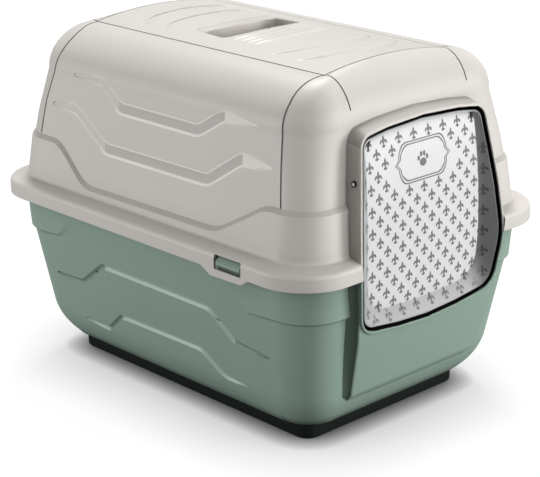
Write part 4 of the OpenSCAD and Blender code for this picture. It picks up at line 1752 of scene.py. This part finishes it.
# place, power and size of each soft light, all aimed at the middle of the object
lights = {
    "keyLight": ((1.95, -2.5, 0.75), 54, 1.3),
    "frontLight": ((0.3, -3.1, 0.9), 32, 1.3),
    "topLight": ((1.2, 1.2, 2.9), 88, 1.1),
    "sideTop": ((-2.0, 0.5, 2.4), 4.5, 1.2),
    "topFront": ((0.3, -1.7, 2.8), 18, 1.2),
    "sideLight": ((-2.75, 1.7, 0.6), 54, 1.1),
}
view = {
    "place": (-1.3313, -1.3963, 0.8251),
    "azimuth": -43.84,
    "elevation": 19.14,
    "roll": -0.16,
    "lens": 114.94,
}


def paleFloorMaterial():
    # Seen by the camera it is white, with a painted shadow from ambient occlusion close beside the object;
    # other rays see a soft grey.
    m = bpy.data.materials.new("paleFloor")
    m.use_nodes = True
    nodes, links = m.node_tree.nodes, m.node_tree.links
    shader = nodes["Principled BSDF"]
    shader.inputs["Roughness"].default_value = 0.9
    shader.inputs["Specular IOR Level"].default_value = 0.0
    shader.inputs["Emission Color"].default_value = (1, 1, 1, 1)
    seen = nodes.new("ShaderNodeLightPath").outputs["Is Camera Ray"]

    def closeness(reach, low, power):
        # 0 right beside the object, 1 from about reach metres away
        near, span = nodes.new("ShaderNodeAmbientOcclusion"), nodes.new("ShaderNodeMapRange")
        near.inputs["Distance"].default_value = reach
        near.samples = 16
        span.inputs["From Min"].default_value = low
        curve = nodes.new("ShaderNodeMath")
        curve.operation = "POWER"
        curve.inputs[1].default_value = power
        links.new(near.outputs["AO"], span.inputs["Value"])
        links.new(span.outputs["Result"], curve.inputs[0])
        return curve.outputs[0]

    def times(a, b):
        product = nodes.new("ShaderNodeMath")
        product.operation = "MULTIPLY"
        links.new(a, product.inputs[0])
        if isinstance(b, float):
            product.inputs[1].default_value = b
        else:
            links.new(b, product.inputs[1])
        return product.outputs[0]

    tight, wide = closeness(*studio["tight"]), closeness(*studio["wide"])
    shown = nodes.new("ShaderNodeCombineColor")
    for channel in ("Red", "Green", "Blue"):
        links.new(times(tight, studio["shown"]), shown.inputs[channel])
    tone = nodes.new("ShaderNodeMix")
    tone.data_type = "RGBA"
    tone.inputs["A"].default_value = (*[studio["bounce"]] * 3, 1)
    links.new(shown.outputs["Color"], tone.inputs["B"])
    links.new(seen, tone.inputs["Factor"])
    links.new(tone.outputs["Result"], shader.inputs["Base Color"])
    glow = times(times(times(tight, wide), seen), studio["glow"])
    links.new(glow, shader.inputs["Emission Strength"])
    return m


def layFloor():
    bm = bmesh.new()
    size = studio["floor"]
    corners = ((-size, -size), (size, -size), (size, size), (-size, size))
    capped(bm, [(x, y, studio["floorLow"]) for x, y in corners])
    mesh("floor", bm, paleFloorMaterial())


def makeWorld():
    world = bpy.data.worlds.new("studio")
    bpy.context.scene.world = world
    world.use_nodes = True
    nodes = world.node_tree.nodes
    path, tone = nodes.new("ShaderNodeLightPath"), nodes.new("ShaderNodeMix")
    tone.data_type = "RGBA"
    tone.inputs["A"].default_value = (*[studio["worldLight"]] * 3, 1)
    tone.inputs["B"].default_value = (1, 1, 1, 1)
    background = nodes["Background"]
    background.inputs["Strength"].default_value = 1.0
    join(
        world.node_tree.links,
        (path.outputs["Is Camera Ray"], tone.inputs["Factor"]),
        (tone.outputs["Result"], background.inputs["Color"]),
    )


def softLight(name, place, power, size):
    data = bpy.data.lights.new(name, "AREA")
    data.shape = "DISK"
    data.size = size
    data.energy = power
    obj = bpy.data.objects.new(name, data)
    obj.location = place
    obj.rotation_euler = (Vector((0, 0, 0.2)) - Vector(place)).to_track_quat("-Z", "Y").to_euler()
    bpy.context.scene.collection.objects.link(obj)


def placeCamera():
    data = bpy.data.cameras.new("camera")
    data.sensor_width = 36
    data.lens = view["lens"]
    data.clip_end = 50
    camera = bpy.data.objects.new("camera", data)
    az, el, roll = (math.radians(view[k]) for k in ("azimuth", "elevation", "roll"))
    back = Vector((math.sin(az) * math.cos(el), -math.cos(az) * math.cos(el), math.sin(el)))
    camera.location = view["place"]
    camera.rotation_mode = "QUATERNION"
    turn = Matrix.Rotation(roll, 4, "Z").to_quaternion()
    camera.rotation_quaternion = (-back).to_track_quat("-Z", "Y") @ turn
    bpy.context.scene.collection.objects.link(camera)
    bpy.context.scene.camera = camera


layFloor()
makeWorld()
for name, (place, power, size) in lights.items():
    softLight(name, place, power, size)
placeCamera()
bpy.context.scene.view_settings.view_transform = "Standard"

print("stage: scene ready")
